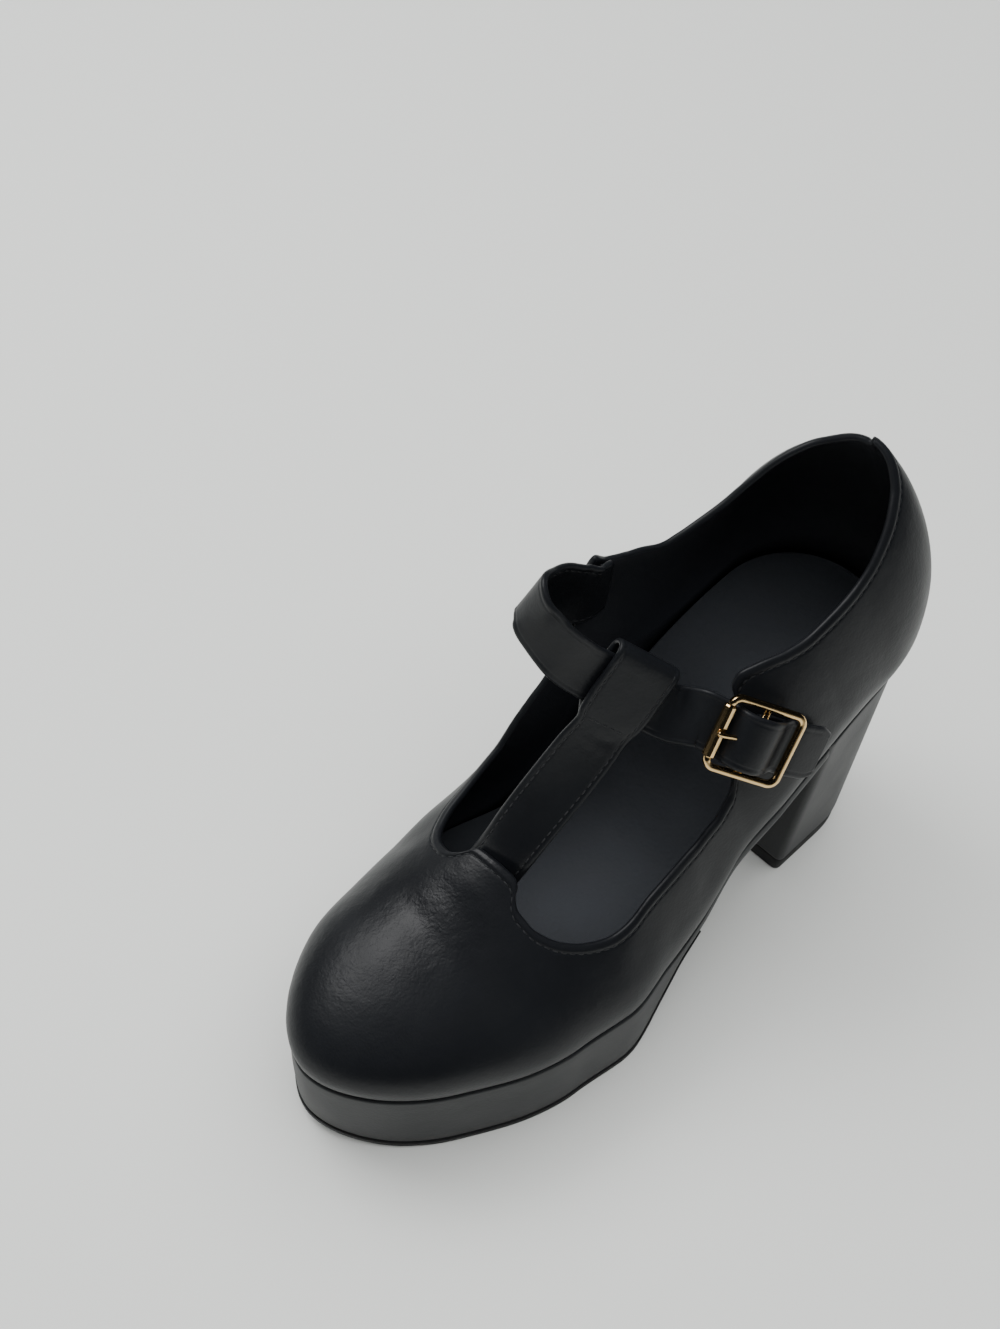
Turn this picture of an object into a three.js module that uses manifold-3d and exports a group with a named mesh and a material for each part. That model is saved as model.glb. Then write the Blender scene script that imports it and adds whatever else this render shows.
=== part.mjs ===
// Left platform shoe with a T-strap, a buckled instep strap, a wrapped platform and a block heel.
// Millimetres, +Z up. "along" runs forward from the back of the heel to the toe, x to the wearer's
// left (the outer side of this left shoe), height up from the floor. In the model +Y points to the
// heel, so y = TREAD_CENTRE.along - along, and the origin is the middle of the heel's tread.
import * as THREE from 'three';
import { mergeVertices } from 'three/addons/utils/BufferGeometryUtils.js';
import Module from 'manifold-3d';

const wasm = await Module();
wasm.setup();

// Driving sizes
const LENGTH = 229;              // back of the counter to the tip of the toe, in plan
const HEEL_CENTRE = 33;          // centre of the round that closes the heel in plan
const TOE_CENTRE = 163;          // centre of the round that closes the toe in plan
const TOE_POWER = 1.83;          // plan roundness of the toe, 2 is an ellipse
const COUNTER = { bulge: 3.6, height: 64, front: 54, run: 40 }; // soft swell of the counter
const TUCK = 3.2;                // how far the upper draws in to its lower edge
const TUCK_HEIGHT = 14;          // height over which it draws in
const CROWN = 0.03;              // softness of the ridge where a section's power is under 2
const WALL = 2.0;                // upper with its lining
const GAP = 0.3;                 // clearance between pieces that touch
const RAND = 0.8;                // the platform stands this proud of the upper's lower edge
const OUTSOLE = 1.9;             // outsole thickness
const INSOLE = 2.6;              // insole thickness
const TIP = 6.0;                 // height of the rubber tip under the heel
const BREAST = 57.3;             // front face of the heel, at its top
const TREAD = { back: 8.5, front: 56.3, half: 31.4, round: 25.7, power: 2.5 };
const TREAD_CENTRE = { along: 32 };

// The last's sections. feather: lower edge of the upper; the crests: where each side would close
// over the foot; lateral and medial: half widths from the ridge; ridge: its x; lean: forward shift
// for each mm of height; the powers: squareness of each side, 2 is an ellipse.
const SECTIONS = [
  { along: -2, feather: 88, lateralCrest: 200, medialCrest: 196, lateral: 35.4,
    medial: 33, ridge: 0.5, lean: 0.17, lateralPower: 2.5, medialPower: 2.5 },
  { along: 20, feather: 86.5, lateralCrest: 162, medialCrest: 164, lateral: 35.4,
    medial: 33, ridge: 0.5, lean: 0.1, lateralPower: 1.96, medialPower: 1.98 },
  { along: 40, feather: 83.5, lateralCrest: 147.5, medialCrest: 158.5, lateral: 36.5,
    medial: 33.5, ridge: 0.5, lean: 0.16, lateralPower: 1.55, medialPower: 1.84 },
  { along: 58, feather: 78, lateralCrest: 135, medialCrest: 163, lateral: 37.5,
    medial: 34, ridge: 0.5, lean: 0.18, lateralPower: 1.55, medialPower: 2.26 },
  { along: 75, feather: 67.5, lateralCrest: 120, medialCrest: 170.5, lateral: 38,
    medial: 34.5, ridge: 0, lean: 0.13, lateralPower: 1.7, medialPower: 3.36 },
  { along: 92, feather: 50.5, lateralCrest: 105, medialCrest: 164.5, lateral: 38.8,
    medial: 34.5, ridge: -2.8, lean: 0.06, lateralPower: 1.75, medialPower: 4.1 },
  { along: 108, feather: 37.3, lateralCrest: 101, medialCrest: 134.5, lateral: 40.4,
    medial: 36.5, ridge: -1.6, lean: 0.05, lateralPower: 1.45, medialPower: 3.45 },
  { along: 125, feather: 31.6, lateralCrest: 93.5, medialCrest: 97, lateral: 45.8,
    medial: 38.3, ridge: -4.8, lean: 0.03, lateralPower: 1.35, medialPower: 2.2 },
  { along: 145, feather: 30.8, lateralCrest: 75.6, medialCrest: 75.6, lateral: 51.7,
    medial: 40.6, ridge: -8.1, lean: 0, lateralPower: 1.4, medialPower: 1.77 },
  { along: 163, feather: 30.8, lateralCrest: 65.6, medialCrest: 65.6, lateral: 50.6,
    medial: 38.4, ridge: -9.8, lean: 0, lateralPower: 1.55, medialPower: 1.72 },
  { along: 180, feather: 30.8, lateralCrest: 59.5, medialCrest: 59.5, lateral: 47.4,
    medial: 39.6, ridge: -8.8, lean: 0, lateralPower: 1.9, medialPower: 1.9 },
  { along: 200, feather: 31.5, lateralCrest: 57.5, medialCrest: 57.5, lateral: 45,
    medial: 40.6, ridge: -9.3, lean: 0, lateralPower: 2.25, medialPower: 2.25 },
  { along: 224, feather: 33, lateralCrest: 57, medialCrest: 57, lateral: 45,
    medial: 39.5, ridge: -10.5, lean: 0, lateralPower: 2.3, medialPower: 2.3 },
];

// The underside of the platform and its arch, at its contact with the outsole or in the open.
const UNDERSIDE = [
  { along: 57, height: 72.5 }, { along: 75, height: 61.0 }, { along: 92, height: 43.5 }, { along: 104, height: 33.5 },
  { along: 112, height: 29.0 }, { along: 117, height: 25.5 }, { along: 122, height: 18.0 }, { along: 127, height: 10.5 },
  { along: 133, height: 4.6 }, { along: 140, height: 2.3 }, { along: 190, height: 2.3 }, { along: 212, height: 3.6 },
  { along: 229, height: 7.5 },
];

// The upper's top edge in the last's own chart: along, and turn, which goes from 0 at the ridge to
// 1 at the lower edge. foot is where the same line of the wall meets the sole, measured along the
// lower edge: on the rounds it runs on for a quarter turn.
const LATERAL_EDGE = [
  { foot: -18.8, along: 8.5, turn: 0 }, // back seam
  { foot: -13, along: 9.6, turn: 0.085 },
  { foot: -6, along: 12.2, turn: 0.175 },
  { foot: 2, along: 16.8, turn: 0.254 },
  { foot: 11, along: 21.5, turn: 0.305 },
  { foot: 21, along: 27, turn: 0.352 },
  { foot: 33, along: 34.5, turn: 0.386 },
  { foot: 42, along: 43, turn: 0.394 },
  { foot: 52, along: 53.3, turn: 0.385 }, // dip of the collar
  { foot: 61, along: 62, turn: 0.343 },
  { foot: 68, along: 70.6, turn: 0.274 },
  { foot: 73, along: 76.6, turn: 0.229 },
  { foot: 77, along: 79.3, turn: 0.24 }, // corner of the buckle wing
  { foot: 80, along: 80.6, turn: 0.285 },
  { foot: 83, along: 83.2, turn: 0.359 },
  { foot: 87, along: 86.4, turn: 0.44 },
  { foot: 91, along: 89.6, turn: 0.52 },
  { foot: 95, along: 93, turn: 0.572 },
  { foot: 99, along: 97.2, turn: 0.576 }, // cut-out, lower edge
  { foot: 105, along: 104, turn: 0.546 },
  { foot: 113, along: 112.5, turn: 0.523 },
  { foot: 122, along: 122.6, turn: 0.515 },
  { foot: 132, along: 131.9, turn: 0.512 },
  { foot: 142, along: 140.1, turn: 0.491 },
  { foot: 153, along: 146.9, turn: 0.455 },
  { foot: 163, along: 151.9, turn: 0.414 },
  { foot: 178, along: 156.4, turn: 0.35 },
  { foot: 193, along: 159, turn: 0.268 }, // front of the cut-out
  { foot: 208, along: 159.2, turn: 0.205 },
  { foot: 221, along: 157.8, turn: 0.16 },
  { foot: 231, along: 155.4, turn: 0.132 }, // peak beside the T-bar
  { foot: 240, along: 154.4, turn: 0.1 },
  { foot: 251, along: 154.6, turn: 0.05 },
  { foot: 266.7, along: 154.8, turn: 0 },
];
const MEDIAL_EDGE = [
  { foot: -18.8, along: 8.5, turn: 0 }, // back seam
  { foot: -13, along: 10.2, turn: 0.075 },
  { foot: -6, along: 14, turn: 0.145 },
  { foot: 2, along: 20, turn: 0.218 },
  { foot: 11, along: 25.5, turn: 0.308 },
  { foot: 21, along: 30.5, turn: 0.375 },
  { foot: 33, along: 37, turn: 0.441 },
  { foot: 43, along: 45.5, turn: 0.534 },
  { foot: 53, along: 54.6, turn: 0.641 },
  { foot: 63, along: 64.5, turn: 0.728 }, // dip of the collar
  { foot: 72, along: 74, turn: 0.786 },
  { foot: 79, along: 82, turn: 0.79 },
  { foot: 85, along: 88.5, turn: 0.765 }, // corner of the strap tab
  { foot: 89, along: 92.2, turn: 0.79 },
  { foot: 92, along: 94.4, turn: 0.83 },
  { foot: 94, along: 94.6, turn: 0.868 },
  { foot: 96, along: 92.8, turn: 0.898 }, // foot of the tab
  { foot: 98, along: 93.4, turn: 0.915 },
  { foot: 101, along: 97.8, turn: 0.908 }, // cut-out, lower edge
  { foot: 106, along: 104, turn: 0.88 },
  { foot: 113, along: 112, turn: 0.822 },
  { foot: 121, along: 121.5, turn: 0.695 },
  { foot: 131, along: 130.9, turn: 0.596 },
  { foot: 142, along: 141, turn: 0.503 },
  { foot: 155, along: 149.6, turn: 0.447 },
  { foot: 170, along: 155.2, turn: 0.388 },
  { foot: 187, along: 158.8, turn: 0.305 }, // front of the cut-out
  { foot: 203, along: 159.8, turn: 0.225 },
  { foot: 217, along: 158.4, turn: 0.162 },
  { foot: 228, along: 156, turn: 0.122 }, // peak beside the T-bar
  { foot: 238, along: 154.9, turn: 0.1 },
  { foot: 250, along: 154.8, turn: 0.05 },
  { foot: 266.7, along: 154.8, turn: 0 },
];

// T-bar: a strip from under the vamp up to the strap, over it, round its upper edge and back behind.
// Rows of its middle, its way from the middle to its outer edge, and how far its edges hang down.
const T_BAR = { thickness: 1.8, base: -3.7, fold: 2.75, top: 9.2, tail: -12.5, half: 10.6 };
const T_BAR_ROWS = [
  { x: -8.7, along: 150.0, height: 70.3, ux: 8.2, ua: -1.4, uh: -1.6, camber: 1.6 },
  { x: -7.9, along: 142.5, height: 77.9, ux: 8.0, ua: -2.3, uh: -2.3, camber: 0.5 },
  { x: -6.7, along: 130.5, height: 89.3, ux: 7.3, ua: -3.8, uh: -3.6, camber: 0 },
  { x: -5.9, along: 123.0, height: 96.6, ux: 6.6, ua: -4.7, uh: -4.5, camber: 0 },
];

// Instep strap: rows of its middle and of the way from the middle to its upper edge. It leaves the
// inside of the medial quarter, stands free over the foot, crosses under the T-bar and runs into
// the buckle.
const STRAP = { thickness: 2.0, half: 8.5 };
const STRAP_ROWS = [
  { x: -31.2, along: 90.0, height: 121.4, ux: 0.9, ua: -1.2, uh: 10.4 },
  { x: -31.9, along: 96.4, height: 122.2, ux: 1.0, ua: -1.0, uh: 10.6 },
  { x: -34.7, along: 103.4, height: 126.4, ux: 1.5, ua: -1.0, uh: 10.3 },
  { x: -36.1, along: 109.2, height: 130.8, ux: 2.2, ua: -1.8, uh: 9.2 },
  { x: -36.0, along: 114.3, height: 133.6, ux: 2.7, ua: -2.6, uh: 8.0 },
  { x: -34.5, along: 118.6, height: 135.3, ux: 2.7, ua: -2.5, uh: 8.0 },
  { x: -30.7, along: 121.4, height: 133.6, ux: 2.4, ua: -2.3, uh: 7.9 },
  { x: -25.8, along: 121.0, height: 128.6, ux: 2.0, ua: -2.8, uh: 7.8 },
  { x: -20.8, along: 119.4, height: 124.0, ux: 1.3, ua: -3.5, uh: 7.6 },
  { x: -16.6, along: 116.4, height: 119.2, ux: 1.0, ua: -4.4, uh: 7.1 },
  { x: -11.6, along: 112.0, height: 114.7, ux: 0.6, ua: -5.2, uh: 6.6 },
  { x: -6.6, along: 107.6, height: 110.4, ux: 0.5, ua: -5.6, uh: 6.3 },
  { x: -1.6, along: 103.0, height: 105.9, ux: 0.2, ua: -6.0, uh: 6.0 },
  { x: 4.4, along: 99.0, height: 102.9, ux: 0, ua: -6.3, uh: 5.7 },
];
const STRAP_CROSSING = 11;

// Buckle: a rounded rectangle with a centre bar, on the outer side of the instep. heading goes
// along the strap to its end, upward along the bars.
const BUCKLE = {
  centre: [26.9, 89.3, 102.8], heading: [0.68, -0.63, -0.37], upward: [-0.12, -0.6, 0.79],
  length: 25.2, width: 24.6, bar: 2.8, depth: 2.3, corner: 4.0, pin: 1.05, hinge: 1.1, drop: 0.5,
  roller: 1.85, prong: 0.8,
};
// The strap's middle in the buckle: s from the centre bar towards its end, rise above the frame
const STRAP_IN_BUCKLE = [
  { s: -14.6, rise: -5.6 }, { s: -12.2, rise: -4.3 }, { s: -10.0, rise: -3.3 }, { s: -8.3, rise: -2.1 },
  { s: -7.4, rise: -0.2 }, { s: -6.2, rise: 1.9 }, { s: -4.2, rise: 3.5 }, { s: -1.4, rise: 4.1 },
  { s: 2, rise: 3.6 }, { s: 5.2, rise: 1.2 }, { s: 7.9, rise: -1.9 }, { s: 10.1, rise: -3.7 },
];
const TAIL = { reaches: [13.5, 17, 20.6, 24], lift: 3.3 };
const CHAPE = { thickness: 1.2, half: 7.4, reaches: [21.5, 18, 14.5, 11, 7.5], slot: 4.2 };

// Shape-keeping cubic through a table's column
function column(table, key, name, value) {
  const n = table.length;
  const x = table.map((row) => row[key]);
  const y = table.map((row) => row[name]);
  const at = Math.min(Math.max(value, x[0]), x[n - 1]);
  let i = 0;
  while (i < n - 2 && at >= x[i + 1]) i += 1;
  const step = (k) => x[k + 1] - x[k];
  const slope = (k) => (y[k + 1] - y[k]) / step(k);
  const tangent = (k) => {
    if (k === 0) return slope(0);
    if (k === n - 1) return slope(n - 2);
    const before = slope(k - 1);
    const after = slope(k);
    if (before * after <= 0) return 0;
    const a = 2 * step(k) + step(k - 1);
    const b = step(k) + 2 * step(k - 1);
    return (a + b) / (a / before + b / after);
  };
  const h = step(i);
  const t = (at - x[i]) / h;
  return (1 + 2 * t) * (1 - t) ** 2 * y[i] + t * (1 - t) ** 2 * h * tangent(i)
    + t * t * (3 - 2 * t) * y[i + 1] + t * t * (t - 1) * h * tangent(i + 1);
}
const last = (name, along) => column(SECTIONS, 'along', name, along);
const underside = (along) => column(UNDERSIDE, 'along', 'height', along);

// Signed power, for superellipses
const spow = (value, power) => Math.sign(value) * Math.abs(value) ** power;

// Where a chart point lies relative to the round that closes the form at that end
function cap(along, turn) {
  const front = along > TOE_CENTRE;
  const back = along < HEEL_CENTRE;
  const hub = front ? TOE_CENTRE : back ? HEEL_CENTRE : along;
  const reach = front ? LENGTH - TOE_CENTRE : back ? HEEL_CENTRE : 0;
  const share = reach > 0 ? (along - hub) / (reach * Math.PI / 2) : 0;
  const m = Math.min(Math.hypot(share, turn), 1);
  const c = m > 1e-9 ? share / Math.hypot(share, turn) : 0;
  const d = m > 1e-9 ? turn / Math.hypot(share, turn) : 1;
  const power = front ? 2 + (TOE_POWER - 2) * m * m : 2;
  const r = (Math.abs(c) ** power + Math.abs(d) ** power) ** (-1 / power);
  return { hub, reach, m, c, d, r };
}

// rho to its power, softened at the ridge
function crown(rho, power) {
  const soft = (value) => (value + CROWN) ** (power / 2);
  return (soft(rho * rho) - soft(0)) / (soft(1) - soft(0));
}

// A point of the last's outer surface: turn is positive on the outer, lateral side
function lastPoint(along, turn) {
  const { hub, reach, m, c, d, r } = cap(along, turn);
  const rho = Math.sin(Math.PI * m / 2);
  const u = hub + reach * rho * r * c;
  const side = turn >= 0 ? 'lateral' : 'medial';
  const feather = last('feather', u);
  const power = last(`${side}Power`, u);
  const rise = (last(`${side}Crest`, u) - feather) * Math.max(0, 1 - crown(rho, power)) ** (1 / power);
  const tuck = TUCK * Math.max(0, 1 - rise / TUCK_HEIGHT) ** 2;
  const behind = THREE.MathUtils.clamp((COUNTER.front - u) / COUNTER.run, 0, 1);
  const swell = COUNTER.bulge * behind * Math.sin(Math.PI * Math.min(rise / COUNTER.height, 1)) - tuck;
  const x = last('ridge', u) + rho * r * d * last(side, u) + d * swell;
  const forward = u + c * swell + last('lean', u) * rise;
  return new THREE.Vector3(x, -forward, feather + rise);
}

// The outward normal there, from points close by
function lastNormal(along, turn) {
  const da = 0.6;
  const db = 0.012;
  const shrink = 0.985;
  const { reach, m, hub } = cap(along, turn);
  const pull = m > shrink ? shrink / m : 1;
  const a = reach > 0 ? hub + (along - hub) * pull : along;
  const b = turn * pull;
  const du = lastPoint(a + da, b).sub(lastPoint(a - da, b));
  const dv = lastPoint(a, b + db).sub(lastPoint(a, b - db));
  return dv.cross(du).normalize().negate();
}

const onLast = (along, turn, lift) => lastPoint(along, turn).addScaledVector(lastNormal(along, turn), lift);

// A closed mesh from rings of equal count; a closed loft joins its last ring to its first
function loft(rings, closed = false) {
  const count = rings[0].length;
  const positions = rings.flat().flatMap((p) => [p.x, p.y, p.z]);
  const faces = [];
  const links = closed ? rings.length : rings.length - 1;
  for (let i = 0; i < links; i += 1) {
    const here = i * count;
    const next = ((i + 1) % rings.length) * count;
    for (let j = 0; j < count; j += 1) {
      const k = (j + 1) % count;
      faces.push([here + j, here + k, next + k], [here + j, next + k, next + j]);
    }
  }
  if (!closed) {
    const end = (rings.length - 1) * count;
    for (let j = 1; j < count - 1; j += 1) {
      faces.push([0, j + 1, j], [end, end + j, end + j + 1]);
    }
  }
  return geometryFrom(positions, faces);
}

// Welds equal points, drops faces without area and turns the faces outwards
function geometryFrom(positions, faces) {
  const raw = new THREE.BufferGeometry();
  raw.setAttribute('position', new THREE.Float32BufferAttribute(positions, 3));
  raw.setIndex(faces.flat());
  const welded = mergeVertices(raw, 1e-3);
  const index = welded.getIndex().array;
  const kept = [];
  for (let i = 0; i < index.length; i += 3) {
    const [a, b, c] = [index[i], index[i + 1], index[i + 2]];
    if (a !== b && b !== c && c !== a) kept.push([a, b, c]);
  }
  if (volume(welded.getAttribute('position'), kept) < 0) kept.forEach((face) => face.reverse());
  welded.setIndex(kept.flat());
  welded.computeVertexNormals();
  return welded;
}

function volume(position, faces) {
  const p = [new THREE.Vector3(), new THREE.Vector3(), new THREE.Vector3()];
  return faces.reduce((sum, face) => {
    face.forEach((vertex, k) => p[k].fromBufferAttribute(position, vertex));
    return sum + p[0].dot(p[1].cross(p[2])) / 6;
  }, 0);
}

// Booleans
function solid(geometry) {
  const bare = new THREE.BufferGeometry();
  bare.setAttribute('position', geometry.getAttribute('position').clone());
  bare.setIndex(geometry.getIndex());
  const welded = mergeVertices(bare, 1e-4);
  return new wasm.Manifold(new wasm.Mesh({
    numProp: 3,
    vertProperties: new Float32Array(welded.getAttribute('position').array),
    triVerts: new Uint32Array(welded.getIndex().array),
  }));
}
function meshGeometry(manifold) {
  const mesh = manifold.getMesh();
  const geometry = new THREE.BufferGeometry();
  geometry.setAttribute('position', new THREE.Float32BufferAttribute(mesh.vertProperties, 3));
  geometry.setIndex(Array.from(mesh.triVerts));
  geometry.computeVertexNormals();
  return geometry;
}

// Upper: rings run round the shoe, from the sole's edge up to the top edge, then down inside
function upperGeometry() {
  const between = 2;
  const rows = 6;
  const loop = [...edgeLine(LATERAL_EDGE, 1, between), ...edgeLine(MEDIAL_EDGE, -1, between).reverse().slice(1, -1)];
  const outer = [];
  const inner = [];
  for (let i = 0; i <= rows; i += 1) {
    const t = 1 - (1 - i / rows) ** 1.15;
    const chart = loop.map(({ foot, edge }) => ({
      along: THREE.MathUtils.lerp(foot.along, edge.along, t),
      turn: THREE.MathUtils.lerp(foot.turn, edge.turn, t),
    }));
    outer.push(chart.map(({ along, turn }) => lastPoint(along, turn)));
    inner.push(chart.map(({ along, turn }) => {
      const point = onLast(along, turn, -WALL);
      if (i === 0) point.z = lastPoint(along, turn).z;
      return point;
    }));
  }
  return loft([...outer, ...inner.reverse()], true);
}

// The edge table drawn fine: chart points of the top edge, each with its foot on the lower edge
function edgeLine(table, side, between) {
  const rows = table.map((row, i) => ({ ...row, i }));
  return Array.from({ length: (rows.length - 1) * between + 1 }, (_, k) => {
    const at = (name) => column(rows, 'i', name, k / between);
    return { foot: footPoint(at('foot'), side), edge: { along: at('along'), turn: side * at('turn') } };
  });
}
function footPoint(foot, side) {
  const front = foot > TOE_CENTRE;
  if (!front && foot > HEEL_CENTRE) return { along: foot, turn: side };
  const centre = front ? TOE_CENTRE : HEEL_CENTRE;
  const reach = front ? LENGTH - TOE_CENTRE : HEEL_CENTRE;
  const angle = (foot - centre) / reach;
  return { along: centre + reach * Math.PI / 2 * Math.sin(angle), turn: side * Math.cos(angle) };
}

// Plan outline of the sole at its stations: the upper's lower edge moved out by grow
function outline(station, grow) {
  const sides = [1, -1].map((side) => {
    const chart = stationChart(station, side);
    const point = lastPoint(chart.along, chart.turn);
    const { c, d } = cap(chart.along, chart.turn);
    return { x: point.x + d * grow, along: -point.y + c * grow };
  });
  return { lateral: sides[0].x, medial: sides[1].x, along: sides[0].along };
}
// A station is a chart along on the straight stretch, or { end, angle } on the rounds
function stationChart(station, side) {
  if (typeof station === 'number') return { along: station, turn: side };
  const radians = THREE.MathUtils.degToRad(station.angle);
  const centre = station.end === 'toe' ? TOE_CENTRE + 1e-6 : HEEL_CENTRE - 1e-6;
  const reach = station.end === 'toe' ? LENGTH - TOE_CENTRE : -HEEL_CENTRE;
  return { along: centre + reach * Math.PI / 2 * Math.cos(radians), turn: side * Math.sin(radians) };
}
const toeStations = (count) => Array.from({ length: count + 1 }, (_, i) => ({ end: 'toe', angle: 90 - 90 * i / count }));
const heelStations = (count) => Array.from({ length: count + 1 }, (_, i) => ({ end: 'heel', angle: 90 * i / count }));

// A slab between two heights that follows the outline, with a small bevel on its edges
function slab(stations, grow, low, high, bevel) {
  const rings = stations.map((station) => {
    const wide = outline(station, grow);
    const narrow = outline(station, grow - bevel);
    const z0 = low(wide.along);
    const z1 = high(wide.along);
    const at = (plan, side, z) => new THREE.Vector3(plan[side], -plan.along, z);
    return [
      at(wide, 'lateral', z0 + bevel), at(wide, 'lateral', z1 - bevel), at(narrow, 'lateral', z1),
      at(narrow, 'medial', z1), at(wide, 'medial', z1 - bevel), at(wide, 'medial', z0 + bevel),
      at(narrow, 'medial', z0), at(narrow, 'lateral', z0),
    ];
  });
  return loft(rings);
}

function platformGeometry() {
  const straight = [BREAST + GAP, 66, 75, 84, 92, 98, 104, 110, 114, 118, 122, 127, 132, 140, 150];
  return slab([...straight, ...toeStations(18)], RAND, underside, (along) => last('feather', along) - GAP - 0.15, 1.0);
}

function outsoleGeometry() {
  const straight = [108, 112, 115, 118, 121, 124, 127, 130, 133, 136, 140, 150];
  const top = (along) => underside(along) - GAP - 0.1;
  return slab([...straight, ...toeStations(18)], RAND + 0.5, (along) => top(along) - OUTSOLE, top, 0.4);
}

function insoleGeometry() {
  const straight = [44, 58, 66, 75, 84, 92, 98, 104, 110, 118, 127, 140, 152];
  const stations = [...heelStations(9), ...straight, ...toeStations(14)];
  const bottom = (along) => last('feather', along) + 0.15;
  return slab(stations, -(WALL + 0.5), bottom, (along) => bottom(along) + INSOLE, 0.6);
}

// Heel block: its rounded D outline goes from the seat's shape at the top to the tread's
function heelRing(share, inset = 0) {
  const sideSteps = 6;
  const roundSteps = 10;
  const top = [];
  const bottom = [];
  const corner = 2.2;
  const treadFront = TREAD.front - inset;
  const half = TREAD.half - inset;
  const centre = TREAD.back + TREAD.round;
  const seat = (station, side, forward) => {
    const plan = outline(station, RAND - inset);
    return { x: plan[side], along: forward ?? plan.along };
  };
  const add = (side) => {
    const sign = side === 'lateral' ? 1 : -1;
    const wide = seat(BREAST - corner, side).x;
    top.push({ x: wide - sign * corner, along: BREAST - inset }, { x: wide - sign * corner * 0.3, along: BREAST - inset - corner * 0.3 });
    bottom.push({ x: sign * (half - corner), along: treadFront }, { x: sign * (half - corner * 0.3), along: treadFront - corner * 0.3 });
    for (let i = 0; i < sideSteps; i += 1) {
      const t = i / sideSteps;
      top.push(seat(THREE.MathUtils.lerp(BREAST - corner - inset, HEEL_CENTRE, t), side));
      bottom.push({ x: sign * half, along: THREE.MathUtils.lerp(treadFront - corner, centre, t) });
    }
    for (let i = 0; i < roundSteps; i += 1) {
      const angle = 90 - 90 * i / roundSteps;
      const radians = THREE.MathUtils.degToRad(angle);
      top.push(seat({ end: 'heel', angle }, side));
      bottom.push({
        x: sign * half * spow(Math.sin(radians), 2 / TREAD.power),
        along: centre - (TREAD.round - inset) * spow(Math.cos(radians), 2 / TREAD.power),
      });
    }
  };
  add('lateral');
  const back = { top: seat({ end: 'heel', angle: 0 }, 'lateral'), bottom: { x: 0, along: TREAD.back + inset } };
  const lateral = { top: top.splice(0), bottom: bottom.splice(0) };
  add('medial');
  const topRing = [...lateral.top, back.top, ...top.reverse()];
  const bottomRing = [...lateral.bottom, back.bottom, ...bottom.reverse()];
  return topRing.map((p, i) => ({
    x: THREE.MathUtils.lerp(bottomRing[i].x, p.x, share),
    along: THREE.MathUtils.lerp(bottomRing[i].along, p.along, share),
    seat: p.along,
  }));
}
function heelBlockGeometry() {
  const foot = TIP + GAP;
  const levels = [0, 0.02, 0.25, 0.5, 0.75, 0.98, 1];
  const rings = levels.map((share) => {
    const inset = share === 0 || share === 1 ? 0.8 : 0;
    return heelRing(share, inset).map(({ x, along, seat }) => {
      const ceiling = last('feather', seat) - GAP - 0.15;
      return new THREE.Vector3(x, -along, THREE.MathUtils.lerp(foot, ceiling, share));
    });
  });
  return loftStrips(rings);
}
function heelTipGeometry() {
  const rings = [0, 0.6, TIP - 0.6, TIP].map((z) => heelRing(0, z === 0 || z === TIP ? 0.9 : 0.4)
    .map(({ x, along }) => new THREE.Vector3(x, -along, z)));
  return loftStrips(rings);
}
// A loft whose ends are closed by strips from side to side, so that a curved end stays true
function loftStrips(rings) {
  const count = rings[0].length;
  const positions = rings.flat().flatMap((p) => [p.x, p.y, p.z]);
  const faces = [];
  for (let i = 0; i < rings.length - 1; i += 1) {
    for (let j = 0; j < count; j += 1) {
      const k = (j + 1) % count;
      faces.push([i * count + j, i * count + k, (i + 1) * count + k]);
      faces.push([i * count + j, (i + 1) * count + k, (i + 1) * count + j]);
    }
  }
  [0, (rings.length - 1) * count].forEach((base, end) => {
    for (let j = 0, k = count - 1; j + 1 < k; j += 1, k -= 1) {
      const pair = [[base + j, base + j + 1, base + k - 1], [base + j, base + k - 1, base + k]];
      pair.forEach((face) => faces.push(end ? face : face.reverse()));
    }
  });
  return geometryFrom(positions, faces);
}

// A strip along rows of centre and way to its upper edge; camber lets its two edges hang down
function ribbon(rows, thickness) {
  const rings = rows.map((row, i) => {
    const ahead = rows[Math.min(i + 1, rows.length - 1)].centre;
    const behind = rows[Math.max(i - 1, 0)].centre;
    const tangent = ahead.clone().sub(behind).normalize();
    const half = row.up.length();
    const side = row.up.clone().addScaledVector(tangent, -row.up.dot(tangent)).normalize();
    const face = side.clone().cross(tangent).normalize();
    const bevel = thickness * 0.28;
    const upper = [[half, thickness / 2 - bevel], [half - bevel, thickness / 2]];
    const across = row.camber === undefined ? [] : [half * 0.5, 0, -half * 0.5];
    const corners = [
      ...upper, ...across.map((w) => [w, thickness / 2]), ...upper.map(([w, t]) => [-w, t]).reverse(),
      ...upper.map(([w, t]) => [-w, -t]), ...across.map((w) => [-w, -thickness / 2]), ...upper.map(([w, t]) => [w, -t]).reverse(),
    ];
    const hang = row.camber ?? 0;
    return corners.map(([w, t]) => row.centre.clone().addScaledVector(side, w)
      .addScaledVector(face, t - hang * (w / half) ** 2));
  });
  return loft(rings);
}

// Resamples rows of centre, way up and camber along smooth curves
function smooth(rows, count) {
  const centres = new THREE.CatmullRomCurve3(rows.map((row) => row.centre), false, 'centripetal');
  const ups = new THREE.CatmullRomCurve3(rows.map((row) => row.up), false, 'centripetal');
  const hangs = rows.some((row) => row.camber !== undefined);
  return Array.from({ length: count + 1 }, (_, i) => {
    const at = i / count * (rows.length - 1);
    const k = Math.min(Math.floor(at), rows.length - 2);
    const camber = hangs ? THREE.MathUtils.lerp(rows[k].camber ?? 0, rows[k + 1].camber ?? 0, at - k) : undefined;
    return { centre: centres.getPoint(i / count), up: ups.getPoint(i / count), camber };
  });
}

const world = (x, along, height) => new THREE.Vector3(x, -along, height);

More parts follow.
